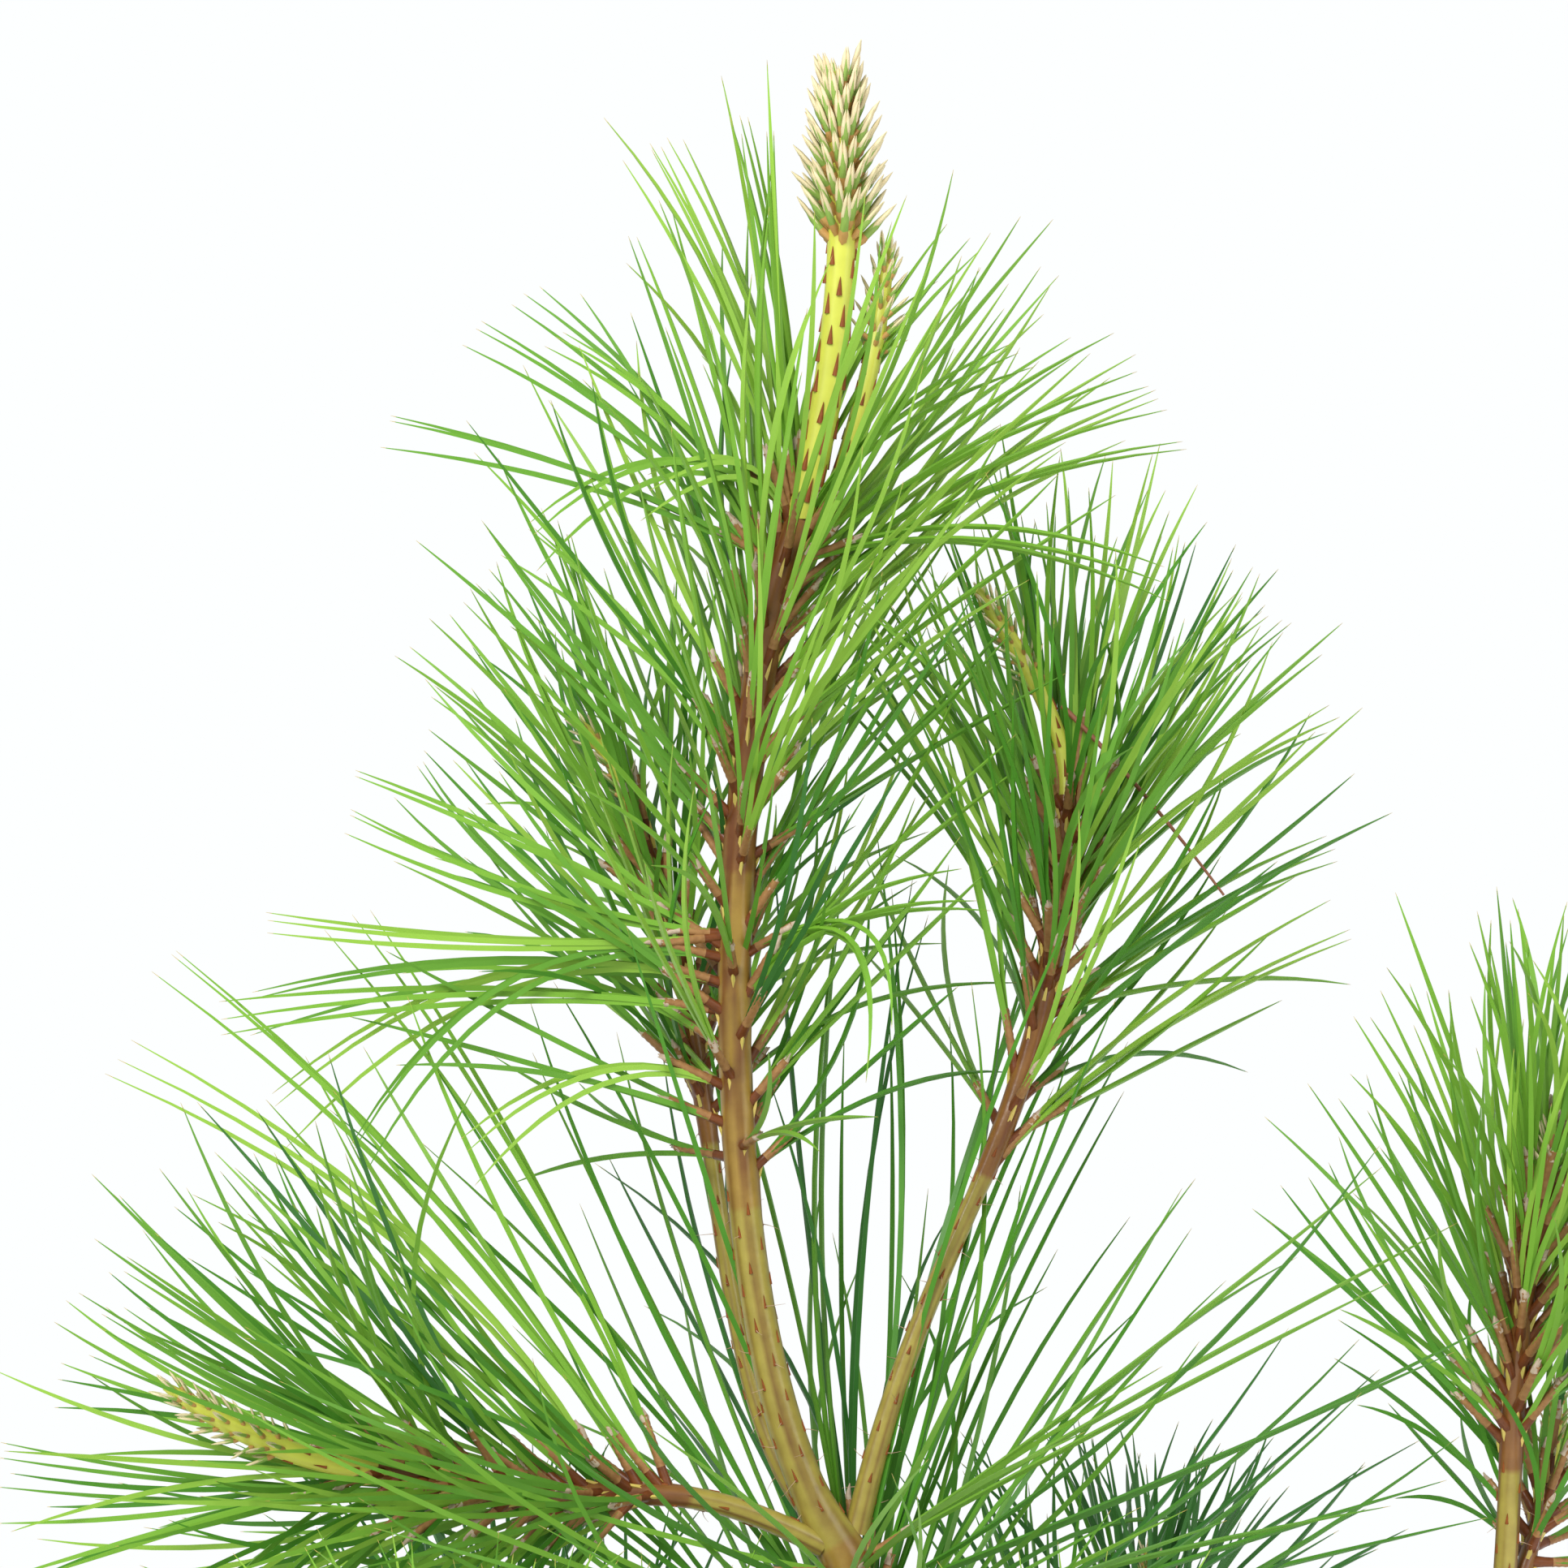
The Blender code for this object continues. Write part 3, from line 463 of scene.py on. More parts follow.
@dataclass(frozen=True)
class Finish:
    """A rough or satin finish whose colour drifts between two tones, with a fine bump."""

    name: str
    low: Colour
    high: Colour
    roughness: float = 0.5
    grain: float = 400.0
    bump: float = 0.1
    tint: str = ""
    glow: float = 0.0
    shine: float = 0.5
    scatter: Colour = (0.6, 1.0, 0.2)
    bump_depth: float = 0.3
    detail: float = 4.0

    def material(self) -> Material:
        """The finish as a node material.

        Returns:
            A Principled material on Object coordinates, times the tint attribute where named.
        """
        made = bpy.data.materials.new(self.name)
        made.use_nodes = True
        nodes, links = made.node_tree.nodes, made.node_tree.links
        shader = nodes["Principled BSDF"]
        for socket, value in (("Roughness", self.roughness), ("Specular IOR Level", self.shine),
                              ("Subsurface Weight", self.glow), ("Subsurface Scale", MM),
                              ("Subsurface Radius", self.scatter)):
            shader.inputs[socket].default_value = value
        where, noise = nodes.new("ShaderNodeTexCoord"), nodes.new("ShaderNodeTexNoise")
        noise.inputs["Scale"].default_value = self.grain
        noise.inputs["Detail"].default_value = self.detail
        links.new(where.outputs["Object"], noise.inputs["Vector"])
        mix = nodes.new("ShaderNodeMix")
        mix.data_type = "RGBA"
        mix.inputs["A"].default_value = (*self.low, 1.0)
        mix.inputs["B"].default_value = (*self.high, 1.0)
        links.new(noise.outputs["Fac"], mix.inputs["Factor"])
        colour = mix.outputs["Result"]
        if self.tint:
            tint, stain = nodes.new("ShaderNodeAttribute"), nodes.new("ShaderNodeMix")
            tint.attribute_name = self.tint
            stain.data_type, stain.blend_type = "RGBA", "MULTIPLY"
            stain.inputs["Factor"].default_value = 1.0
            links.new(tint.outputs["Color"], stain.inputs["A"])
            links.new(colour, stain.inputs["B"])
            colour = stain.outputs["Result"]
        links.new(colour, shader.inputs["Base Color"])
        relief = nodes.new("ShaderNodeBump")
        relief.inputs["Strength"].default_value = self.bump
        relief.inputs["Distance"].default_value = self.bump_depth * MM
        links.new(noise.outputs["Fac"], relief.inputs["Height"])
        links.new(relief.outputs["Normal"], shader.inputs["Normal"])
        return made


# The needles' greens, from bright to deep, each as its two tones. They are partly painted light and
# shade, as lit and shaded copies of one green, and partly tones that differ at random
GREENS = {
    "bright": ((0.20, 0.40, 0.035), (0.28, 0.48, 0.06)),
    "fresh": ((0.13, 0.32, 0.025), (0.20, 0.41, 0.04)),
    "mid": ((0.08, 0.24, 0.02), (0.135, 0.33, 0.03)),
    "leaf": ((0.042, 0.18, 0.012), (0.08, 0.26, 0.018)),
    "deep": ((0.02, 0.11, 0.016), (0.045, 0.17, 0.025)),
}
NEEDLE_PIECES = [f"needle_{name}s" for name in GREENS]

# Each piece of strands: its tubes' sides, whether they are shaded smooth, and its finish
STRAND_LOOKS = {
    **{f"needle_{name}s": (3, False, Finish(
        f"needle_{name}", *tones, 0.42, 60.0, 0.02, shine=0.25)) for name, tones in GREENS.items()},
    "needle_tips": (3, False, Finish(
        "needle_tip", (0.36, 0.26, 0.05), (0.50, 0.40, 0.10), 0.5, 200.0, 0.05)),
    "sheaths": (7, True, Finish(
        "sheath", (0.17, 0.062, 0.016), (0.43, 0.235, 0.085), 0.5, 700.0, 0.6, shine=0.3)),
    "sheath_feet": (7, True, Finish(
        "sheath_foot", (0.07, 0.017, 0.005), (0.22, 0.065, 0.015), 0.36, 500.0, 0.5, shine=0.3)),
    "sheath_ends": (6, True, Finish(
        "sheath_end", (0.32, 0.20, 0.12), (0.62, 0.52, 0.40), 0.7, 700.0, 0.4)),
    "dead_needle": (6, True, Finish(
        "dead_needle", (0.22, 0.07, 0.03), (0.32, 0.12, 0.06), 0.6, 200.0, 0.2)),
    "bracts": (4, False, Finish(
        "bract", (0.36, 0.36, 0.06), (0.70, 0.46, 0.12), 0.45, 300.0, 0.1)),
    "bud_bodies": (5, True, Finish(
        "bud_green", (0.17, 0.33, 0.04), (0.33, 0.46, 0.10), 0.5, 300.0, 0.1)),
    "bud_creams": (4, True, Finish(
        "bud_cream", (0.60, 0.46, 0.24), (0.86, 0.78, 0.50), 0.55, 400.0, 0.2)),
    "bud_feet": (5, True, Finish(
        "bud_foot", (0.40, 0.20, 0.05), (0.66, 0.38, 0.12), 0.55, 400.0, 0.2)),
    "stem_scales": (5, True, Finish(
        "scale", (0.14, 0.03, 0.006), (0.30, 0.09, 0.016), 0.5, 500.0, 0.3, shine=0.2)),
    "curled_hairs": (3, True, Finish(
        "curled_hair", (0.35, 0.20, 0.10), (0.60, 0.42, 0.28), 0.7, 300.0, 0.1)),
    "bark_chips": (5, False, Finish(
        "chip", (0.06, 0.03, 0.015), (0.20, 0.11, 0.06), 0.9, 400.0, 0.8)),
    "perlite_grains": (5, False, Finish(
        "perlite", (0.75, 0.74, 0.70), (0.88, 0.87, 0.84), 0.9, 600.0, 0.5)),
}

BARK_FINISH = Finish("bark", (0.66, 0.60, 0.55), (1.2, 1.25, 1.2), 0.32, 260.0, 0.5, tint="Tint")
SHAFT_FINISH = Finish("candle_shaft", (0.85, 0.85, 0.8), (1.1, 1.1, 1.1), 0.42, 200.0, 0.15,
                      tint="Tint", glow=0.15)
POT_FINISH = Finish("pot_black", (0.022, 0.022, 0.024), (0.034, 0.034, 0.036), 0.42, 900.0, 0.08)
MIX_FINISH = Finish("mix", (0.03, 0.018, 0.010), (0.12, 0.07, 0.04), 0.95, 500.0, 1.0)
FLOOR_FINISH = Finish("floor", (0.80, 0.80, 0.80), (0.84, 0.84, 0.84), 0.7, 20.0, 0.0)

# The bark's colours
OLD_WOOD: Colour = (0.20, 0.135, 0.075)
BARE_BARK: Colour = (0.34, 0.27, 0.05)
RIPE_BARK: Colour = (0.31, 0.19, 0.034)
YOUNG_BARK: Colour = (0.23, 0.10, 0.022)
SHAFT_GREEN: Colour = (0.56, 0.58, 0.07)
STREAK = np.array([0.12, 0.03, 0.008])

# Radii at the stations of a strand, as shares of its girth
KNOB_RADII = np.array([1.25, 1.38, 1.28, 1.16, 1.12, 1.06])
SLIVER_RADII = np.array([0.75, 0.8, 0.12])
BUD_RADII = np.array([0.35, 0.72, 0.66, 0.40, 0.04])
BUD_FOOT_RADII = np.array([0.55, 0.85, 0.30])
CREAM_RADII = np.array([0.18, 0.42, 0.36, 0.03])
SCALE_RADII = np.array([0.85, 0.5, 0.05])
CHIP_RADII = np.array([0.3, 1.0, 0.9, 0.2])
BRACT_RADII = (0.55, 0.42, 0.05)


def kept(name: str, mesh: Mesh, nodes: tuple[str, ...] = ()) -> None:
    """Puts a finished mesh in the scene as a piece.

    Args:
        name: The piece's name.
        mesh: Its mesh, in metres and in place.
        nodes: The solids that it stands for.
    """
    piece = linked(name, mesh)
    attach(piece, BODY)
    if nodes:
        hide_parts(*nodes)
    mesh.calc_loop_triangles()
    log.info("%s: %d triangles", name, len(mesh.loop_triangles))


@dataclass
class Strands:
    """Chains of points with a radius at each, in millimetres."""

    chains: list[Vector] = field(default_factory=list)
    radii: list[Vector] = field(default_factory=list)

    def add(self, chain: Sequence, radii: Sequence[float]) -> None:
        """Adds one chain."""
        self.chains.append(np.asarray(chain, float))
        self.radii.append(np.asarray(radii, float))


class StrandTubes:
    """The node tree that turns chains of edges into closed tubes of varying thickness."""

    def __init__(self) -> None:
        """Builds the tree with its named inputs."""
        tree = bpy.data.node_groups.new("strand_tubes", "GeometryNodeTree")
        face, nodes, links = tree.interface, tree.nodes, tree.links
        face.new_socket("Geometry", in_out="INPUT", socket_type="NodeSocketGeometry")
        face.new_socket("Geometry", in_out="OUTPUT", socket_type="NodeSocketGeometry")
        self.sides, self.finish, self.smooth = (
            face.new_socket(name, in_out="INPUT", socket_type=f"NodeSocket{kind}").identifier
            for name, kind in (("Sides", "Int"), ("Finish", "Material"), ("Smooth", "Bool")))
        given, result = nodes.new("NodeGroupInput"), nodes.new("NodeGroupOutput")
        curve, thickness, profile, tube, shade, whole, dress = (
            nodes.new(f"GeometryNode{kind}") for kind in (
                "MeshToCurve", "InputNamedAttribute", "CurvePrimitiveCircle", "CurveToMesh",
                "SetShadeSmooth", "RealizeInstances", "SetMaterial"))
        thickness.data_type = "FLOAT"
        thickness.inputs["Name"].default_value = "thickness"
        profile.inputs["Radius"].default_value = 1.0
        tube.inputs["Fill Caps"].default_value = True
        for source, output, target, entry in (
                (given, "Geometry", curve, "Mesh"), (given, "Sides", profile, "Resolution"),
                (curve, "Curve", tube, "Curve"), (profile, "Curve", tube, "Profile Curve"),
                (thickness, "Attribute", tube, "Scale"), (tube, "Mesh", shade, "Geometry"),
                (given, "Smooth", shade, "Shade Smooth"),
                (shade, "Geometry", whole, "Geometry"), (whole, "Geometry", dress, "Geometry"),
                (given, "Finish", dress, "Material"), (dress, "Geometry", result, "Geometry")):
            links.new(source.outputs[output], target.inputs[entry])
        self.tree = tree

    def mesh(self, name: str, strands: Strands, finish: Finish, sides: int, smooth: bool) -> Mesh:
        """Runs the tree on some strands.

        Args:
            name: The mesh's name.
            strands: The chains with their thickness.
            finish: Their finish.
            sides: Sides of each tube.
            smooth: Whether the tubes are shaded smooth.

        Returns:
            One plain mesh of closed tubes, in metres.
        """
        edges, base = [], 0
        for chain in strands.chains:
            index = np.arange(base, base + len(chain) - 1)
            edges.append(np.stack([index, index + 1], axis=1))
            base += len(chain)
        lines = bpy.data.meshes.new(f"{name}_lines")
        points = np.concatenate(strands.chains) * MM
        lines.from_pydata(points.tolist(), np.concatenate(edges).tolist(), [])
        attribute = lines.attributes.new("thickness", "FLOAT", "POINT")
        attribute.data.foreach_set("value", np.concatenate(strands.radii).astype(np.float32) * MM)
        carrier = linked(f"{name}_lines", lines)
        modifier = carrier.modifiers.new("tubes", "NODES")
        modifier.node_group = self.tree
        modifier[self.sides] = sides
        modifier[self.finish] = finish.material()
        modifier[self.smooth] = smooth
        seen = carrier.evaluated_get(bpy.context.evaluated_depsgraph_get())
        made = bpy.data.meshes.new_from_object(seen)
        made.name = name
        carrier.modifiers.remove(modifier)
        bpy.data.objects.remove(carrier, do_unlink=True)
        bpy.data.meshes.remove(lines)
        return made


@dataclass
class Dressing:
    """Strands, by the name of the piece that they make."""

    strands: dict[str, Strands] = field(default_factory=lambda: defaultdict(Strands))

    def keep(self, tubes: StrandTubes, slot: Slot,
             nodes: dict[str, tuple[str, ...]] | None = None) -> None:
        """Makes the pieces.

        Args:
            tubes: The node tree that thickens them.
            slot: The record's slot for all of them; it is not used.
            nodes: The solids that a piece stands for, by its name.
        """
        for name, (sides, smooth, finish) in STRAND_LOOKS.items():
            if name in self.strands:
                mesh = tubes.mesh(name, self.strands[name], finish, sides, smooth)
                kept(name, mesh, (nodes or {}).get(name, ()))


def strikes_pot(chain: Vector) -> bool:
    """Whether a needle's course runs into the pot's rim or the mix."""
    heights, out = chain[:, 2], np.hypot(chain[:, 0], chain[:, 1])
    at_rim = (heights < RIM_TOP + CLEAR_OVER) & (out > RIM_INSIDE - CLEAR_INSIDE)
    return bool(at_rim.any() or heights.min() < SOIL_TOP + CLEAR_OVER)


def pixel_of(point: Vector) -> tuple[float, float]:
    """Where a point shows in the photograph, in its pixels."""
    scale = VIEW_DISTANCE / (VIEW_DISTANCE + point[1]) * PIXELS_PER_MM
    return (PHOTO_SIDE / 2 + (point[0] - VIEW_MIDDLE[0]) * scale,
            PHOTO_SIDE / 2 - (point[2] - VIEW_MIDDLE[1]) * scale)


def point_at(pixel: tuple[float, float], depth: float) -> Vector:
    """The point that shows at a pixel of the photograph, at a depth behind the trunk."""
    scale = (VIEW_DISTANCE + depth) / VIEW_DISTANCE / PIXELS_PER_MM
    return np.array([VIEW_MIDDLE[0] + (pixel[0] - PHOTO_SIDE / 2) * scale, depth,
                     VIEW_MIDDLE[1] - (pixel[1] - PHOTO_SIDE / 2) * scale])


@dataclass
class NeedleField(Dressing):
    """All bundles of needles: each three needles, a sheath, its pale end and a bract.

    A scatter is the spread of a normal draw, and a range is a uniform draw's ends.
    """

    stations: int = 13
    needle_radius: float = 0.66
    taper_start: float = 0.62
    taper: float = 0.85
    place_scatter: float = 0.6
    turn_scatter: float = 0.14
    lean_scatter: float = 7.0
    sway_scatter: float = 0.2
    pull_scatter: float = 0.11
    bundle_range: tuple[float, float] = (0.84, 1.06)
    needle_range: tuple[float, float] = (0.93, 1.03)
    spread_range: tuple[float, float] = (0.2, 0.4)
    first_spread: float = 0.035
    curled_share: float = 0.1
    curl_out: float = 1.1
    curl_scatter: float = 0.4
    bow_scatter: float = 0.012
    root_depth: float = 0.55
    trials: int = 12
    shorten: float = 0.93
    sheath_radius: float = 0.92
    sheath_range: tuple[float, float] = (12.5, 17.5)
    marked_sheath_range: tuple[float, float] = (13.0, 17.0)
    marked_bend: float = 0.45
    marked_tip_range: tuple[float, float] = (2.0, 9.0)
    marked_bend_range: tuple[float, float] = (0.5, 2.5)
    sheath_foot: float = 0.34
    ribs: int = 15
    rib_height: float = 0.06
    sliver_scatter: float = 0.22
    bract_range: tuple[float, float] = (3.5, 6.5)
    # Painted shade: a bundle's green deepens towards the back and the foot of the crown, and a
    # random scatter of tone is added
    middle_shade: float = 1.5
    painted_shade_depth: float = 40.0
    painted_shade_height: float = 450.0
    painted_shade_rise: float = 110.0
    shade_scatter: float = 0.9
    cushions: dict[str, list[tuple[float, float]]] = field(default_factory=dict)

    def grow(self, shoot: Shoot) -> None:
        """Grows every zone of one shoot."""
        self.cushions.setdefault(shoot.name, [])
        for zone in shoot.zones:
            random = np.random.default_rng(zone.seed)
            for index in range(zone.count):
                self._grow_bundle(shoot, zone, index, random)

    def _grow_bundle(self, shoot: Shoot, zone: Zone, index: int, random: Random) -> None:
        """Grows the bundle at one place of a zone.

        Args:
            shoot: The shoot that bears it.
            zone: The zone's rule.
            index: The bundle's number from the zone's foot.
            random: The zone's own random source.
        """
        limb = shoot.limb
        share = (index + 0.5) / zone.count
        place = blend(zone.start, zone.end, share) + random.normal(0, self.place_scatter)
        turn = index * GOLDEN_TURN + random.normal(0, self.turn_scatter)
        outward, axis = limb.outward(place, turn)
        mean_lean, least_lean, pull_range = zone.rule(share, outward)
        lean = math.radians(max(mean_lean + random.normal(0, self.lean_scatter), least_lean))
        length = blend(zone.length_foot, zone.length_top, share)
        length *= random.uniform(*self.bundle_range)
        pull = random.uniform(*pull_range)
        sway = random.normal(0, self.sway_scatter)
        root = limb.inside(place, outward, self.root_depth)
        start = swing(lean, axis, outward)
        across = unit(np.cross(start, UP) + 1e-3 * ACROSS)
        curled = random.random() < self.curled_share
        # The bundle's green: painted shade towards the back and the foot of the crown, and random
        # tone
        shade = self._green_with_painted_shade(root, random)
        self.cushions[shoot.name].append((place, turn % FULL_TURN))
        sheath_length = random.uniform(*self.sheath_range)
        for number in range(BUNDLE):
            spread = blend(*self.spread_range, random.random())
            aside = swing(FULL_TURN * number / BUNDLE + turn, across, np.cross(across, start))
            first = unit(start + self.first_spread * aside)
            lift = pull + random.normal(0, self.pull_scatter)
            last = first + lift * UP + sway * across + spread * aside
            if curled:
                last = last + self.curl_out * aside
                last = last + self.curl_scatter * random.normal(0, 1) * across
            reach = length * random.uniform(*self.needle_range)
            self._add_needle(root, (first, unit(last), aside), reach, shade, zone.highest, random)
        self._add_sheath(root, start, sheath_length, random)
        base = limb.inside(place, outward, 0.9) - axis * 2.2
        thorn = unit(axis + 0.35 * outward) * random.uniform(*self.bract_range)
        self.strands["bracts"].add(base + thorn * column(0, 0.5, 1.0), BRACT_RADII)

    def _add_sheath(self, root: Vector, start: Vector, length: float, random: Random) -> None:
        """Adds a bundle's knobbed foot, its ribbed sheath and its pale ragged end."""
        tau = np.linspace(0, self.sheath_foot, len(KNOB_RADII))[:, None]
        self.strands["sheath_feet"].add(root + start * length * tau,
                                        self.sheath_radius * KNOB_RADII)
        tau = np.linspace(self.sheath_foot - 0.02, 1, self.ribs)[:, None]
        ribs = 1 + self.rib_height * (-1.0) ** np.arange(self.ribs)
        self.strands["sheaths"].add(root + start * length * tau,
                                    self.sheath_radius * ribs * np.linspace(1.08, 0.9, self.ribs))
        for _ in range(BUNDLE):
            sliver = root + start * (length + column(-2.4, -0.4, 1.8))
            self.strands["sheath_ends"].add(
                sliver + random.normal(0, self.sliver_scatter, sliver.shape),
                SLIVER_RADII * self.sheath_radius)

    def grow_marked(self) -> None:
        """Grows the bundles whose tips are marked in the photograph, and the dead needle."""
        random = np.random.default_rng(MARKED_SEED)
        for marked in MARKED_BUNDLES:
            limb = marked.limb
            seen = np.array([pixel_of(point) for point in limb.points])
            nearest = int(np.argmin(np.linalg.norm(seen - np.array(marked.root), axis=1)))
            middle = limb.points[nearest]
            tip = point_at(marked.tip, marked.depth)
            way = tip - middle
            across = unit(np.cross(BACK, way))
            bend = middle + way * self.marked_bend + across * np.linalg.norm(way) * marked.bow * 2
            start = unit(bend - middle)
            root = middle + start * limb.radius(limb.lengths[nearest]) * 0.4
            shade = int(random.integers(0, 3))
            for number in range(BUNDLE):
                fan = FULL_TURN * number / BUNDLE + 1.0
                stray = swing(fan, across, np.cross(across, start))
                end = tip + stray * random.uniform(*self.marked_tip_range) if number else tip
                knee = bend + stray * random.uniform(*self.marked_bend_range)
                self._add_course(arc(root, knee, end, self.stations), shade)
            self._add_sheath(root, start, random.uniform(*self.marked_sheath_range), random)
        course = arc(*(point_at(pixel, depth) for pixel, depth in DEAD_COURSE), self.stations)
        self.strands["dead_needle"].add(course, self.needle_radius
                                        * np.linspace(0.9, 0.4, self.stations))

    def _green_with_painted_shade(self, root: Vector, random: Random) -> int:
        """A bundle's green, with painted shade that deepens it towards the back and the foot of the
        crown, and a random scatter of tone.
        """
        depth = (self.middle_shade + root[1] / self.painted_shade_depth
                 - (root[2] - self.painted_shade_height) / self.painted_shade_rise
                 + random.normal(0, self.shade_scatter))
        return int(np.clip(round(depth), 0, len(NEEDLE_PIECES) - 1))

    def _add_needle(self, root: Vector, ways: tuple[Vector, Vector, Vector],
                    length: float, shade: int, highest: float, random: Random) -> None:
        """Adds one needle, shortened where it would rise too high or strike the pot.

        Args:
            root: Where it starts.
            ways: Its way at the start, its way at the tip, and the way to its side.
            length: Its full length.
            shade: Its green, by number.
            highest: The height that it stays under.
            random: The random source.
        """
        first, last, aside = ways
        tau = np.linspace(0, 1, self.stations)[:, None]
        for _ in range(self.trials):
            chain = root + length * (first * (tau - tau ** 2 / 2) + last * tau ** 2 / 2)
            bow = aside * np.sin(math.pi * tau) * length
            chain = chain + bow * random.normal(0, self.bow_scatter)
            if chain[:, 2].max() <= highest and not strikes_pot(chain):
                break
            length *= self.shorten
        self._add_course(chain, shade)

    def _add_course(self, chain: Vector, shade: int) -> None:
        """Adds one needle along its points, and its tan tip."""
        share = np.linspace(0, 1, len(chain))
        narrowing = np.clip((share - self.taper_start) / (1 - self.taper_start), 0, 1) ** 1.8
        width = self.needle_radius * (1 - self.taper * narrowing)
        self.strands[NEEDLE_PIECES[shade]].add(chain, width)
        end, before = chain[-1], chain[-2]
        self.strands["needle_tips"].add(
            [blend(before, end, 0.86), end, end + (end - before) * 0.14],
            [width[-1] * 1.12, width[-1] * 0.9, 0.03])

    def build(self, tubes: StrandTubes) -> None:
        """Makes the pieces, of which the needles stand for every mass."""
        masses = [node for shoot in SHOOTS for node in shoot.mass_nodes]
        share = math.ceil(len(masses) / len(NEEDLE_PIECES))
        self.keep(tubes, Slot.NEEDLES, {
            name: tuple(masses[number * share:(number + 1) * share])
            for number, name in enumerate(NEEDLE_PIECES)})


@dataclass(frozen=True)
class Bark:
    """The bark of one limb: ribs run down it from under each bundle."""

    shoot: Shoot
    cushions: list[tuple[float, float]]
    ring_step: float = 1.3
    sides: int = 24
    cushion_height: float = 0.34
    cushion_reach: float = 10.0
    cushion_width: float = 0.34
    full_relief_radius: float = 2.6
    old_wood_top: float = 300.0
    ripe_wood_top: float = 500.0
    relief_lobes: tuple[tuple[int, float], ...] = ((5, 0.06), (9, 0.045), (13, 0.03))
    relief_drift: float = 0.05
    streak_lobes: tuple[int, ...] = (3, 5, 8)
    streak_drift: float = 0.09
    streak_floor: float = 0.08
    ridge_red: float = 1.1
    streak_red: float = 1.7
    most_red: float = 0.78
    shaft_red: float = 0.1
    sharp_angle: float = 60.0

    def _tint(self, place: float, height: float) -> Colour:
        """The bark's colour: old wood, bare bark, or bark that bears needles."""
        on_trunk = self.shoot.limb is TRUNK
        if on_trunk and height < self.old_wood_top:
            return OLD_WOOD
        if not any(zone.start - 6 <= place <= zone.end + 5 for zone in self.shoot.zones):
            return BARE_BARK
        return RIPE_BARK if on_trunk and height < self.ripe_wood_top else YOUNG_BARK

    def _ridges(self, places: Vector, turns: Vector) -> Vector:
        """The ridges under the bundles, from 0 to 1 at each place and turn."""
        ridges = np.zeros((len(places), len(turns)))
        for place, turn in self.cushions:
            along = place - places
            fall = np.where((along >= -1.5) & (along < self.cushion_reach),
                            1 - np.clip(along / self.cushion_reach, 0, 1), 0.0)
            around = np.abs((turns - turn + math.pi) % FULL_TURN - math.pi)
            bulge = np.exp(-(around / self.cushion_width) ** 2)
            ridges = np.maximum(ridges, fall[:, None] * bulge[None, :])
        return ridges

    def tube(self, name: str, start: float, end: float, finish: Material,
             tint: Colour | None) -> Mesh:
        """A closed tube with relief and a tint along a stretch of the limb.

        Args:
            name: The mesh's name.
            start: Where it starts, by length along the limb.
            end: Where it ends.
            finish: Its material.
            tint: One colour all along, without ridges, or None for the bark's own.

        Returns:
            The mesh, in metres.
        """
        limb, sides = self.shoot.limb, self.sides
        rings = max(6, int((end - start) / self.ring_step))
        places, turns = np.linspace(start, end, rings), FULL_TURN * np.arange(sides) / sides
        ridges = np.zeros((rings, sides)) if tint else self._ridges(places, turns)
        random = np.random.default_rng(rings)

        def wave(lobes: int, scatter: float) -> Vector:
            """A ripple round the limb that drifts along it."""
            drift = np.cumsum(random.normal(0, scatter, rings))[:, None]
            return np.sin(lobes * turns[None, :] + drift)

        relief = ridges
        for lobes, height in self.relief_lobes:
            relief = relief + height / self.cushion_height * wave(lobes, self.relief_drift)
        streaks = sum(wave(lobes, self.streak_drift) for lobes in self.streak_lobes)
        streaks = np.clip(streaks / len(self.streak_lobes) - self.streak_floor, 0, 1)
        red = np.clip(self.ridge_red * ridges + self.streak_red * streaks, 0, 1)
        red = red * (self.shaft_red if tint else self.most_red)
        points, tints = [], []
        for row, place in enumerate(places):
            side, over, _ = limb.axes(place)
            if limb is TRUNK and row == 0:
                side, over = ACROSS, BACK
            middle, radius = limb.point(place), limb.radius(place)
            colour = np.array(tint or self._tint(place, middle[2]))
            height = self.cushion_height * min(radius / self.full_relief_radius, 1.0)
            points.extend(middle + (radius + height * relief[row, k]) * swing(turn, side, over)
                          for k, turn in enumerate(turns))
            share = red[row][:, None]
            tints.append(colour * (1 - share) + STREAK * share)
        circles = [range(row * sides, (row + 1) * sides) for row in range(rings)]
        mesh = solid(name, points, [tuple(circles[0])[::-1], *bands(circles, sides),
                                    tuple(circles[-1])])
        layer = mesh.color_attributes.new("Tint", "FLOAT_COLOR", "POINT")
        rgba = np.column_stack([np.concatenate(tints), np.ones(rings * sides)])
        layer.data.foreach_set("color", rgba.astype(np.float32).ravel())
        return dressed(mesh, finish, self.sharp_angle)

    def build(self, bark: Material, shaft: Material) -> None:
        """Makes the limb's bark and the shaft of its candle, which ends within its buds."""
        name, limb, turn_green = self.shoot.name, self.shoot.limb, self.shoot.candle_start
        if turn_green > 1.0:
            kept(f"{name}_bark", self.tube(f"{name}_bark", 0.0, turn_green, bark, None),
                 self.shoot.wood_nodes)
        nodes = {"leader": ("leader_candle",), "side_candle": ("side_candle",)}.get(name, ())
        end = limb.length - 0.5 * self.shoot.bud_length
        kept(f"{name}_shaft", self.tube(f"{name}_shaft", turn_green, end, shaft, SHAFT_GREEN),
             nodes)


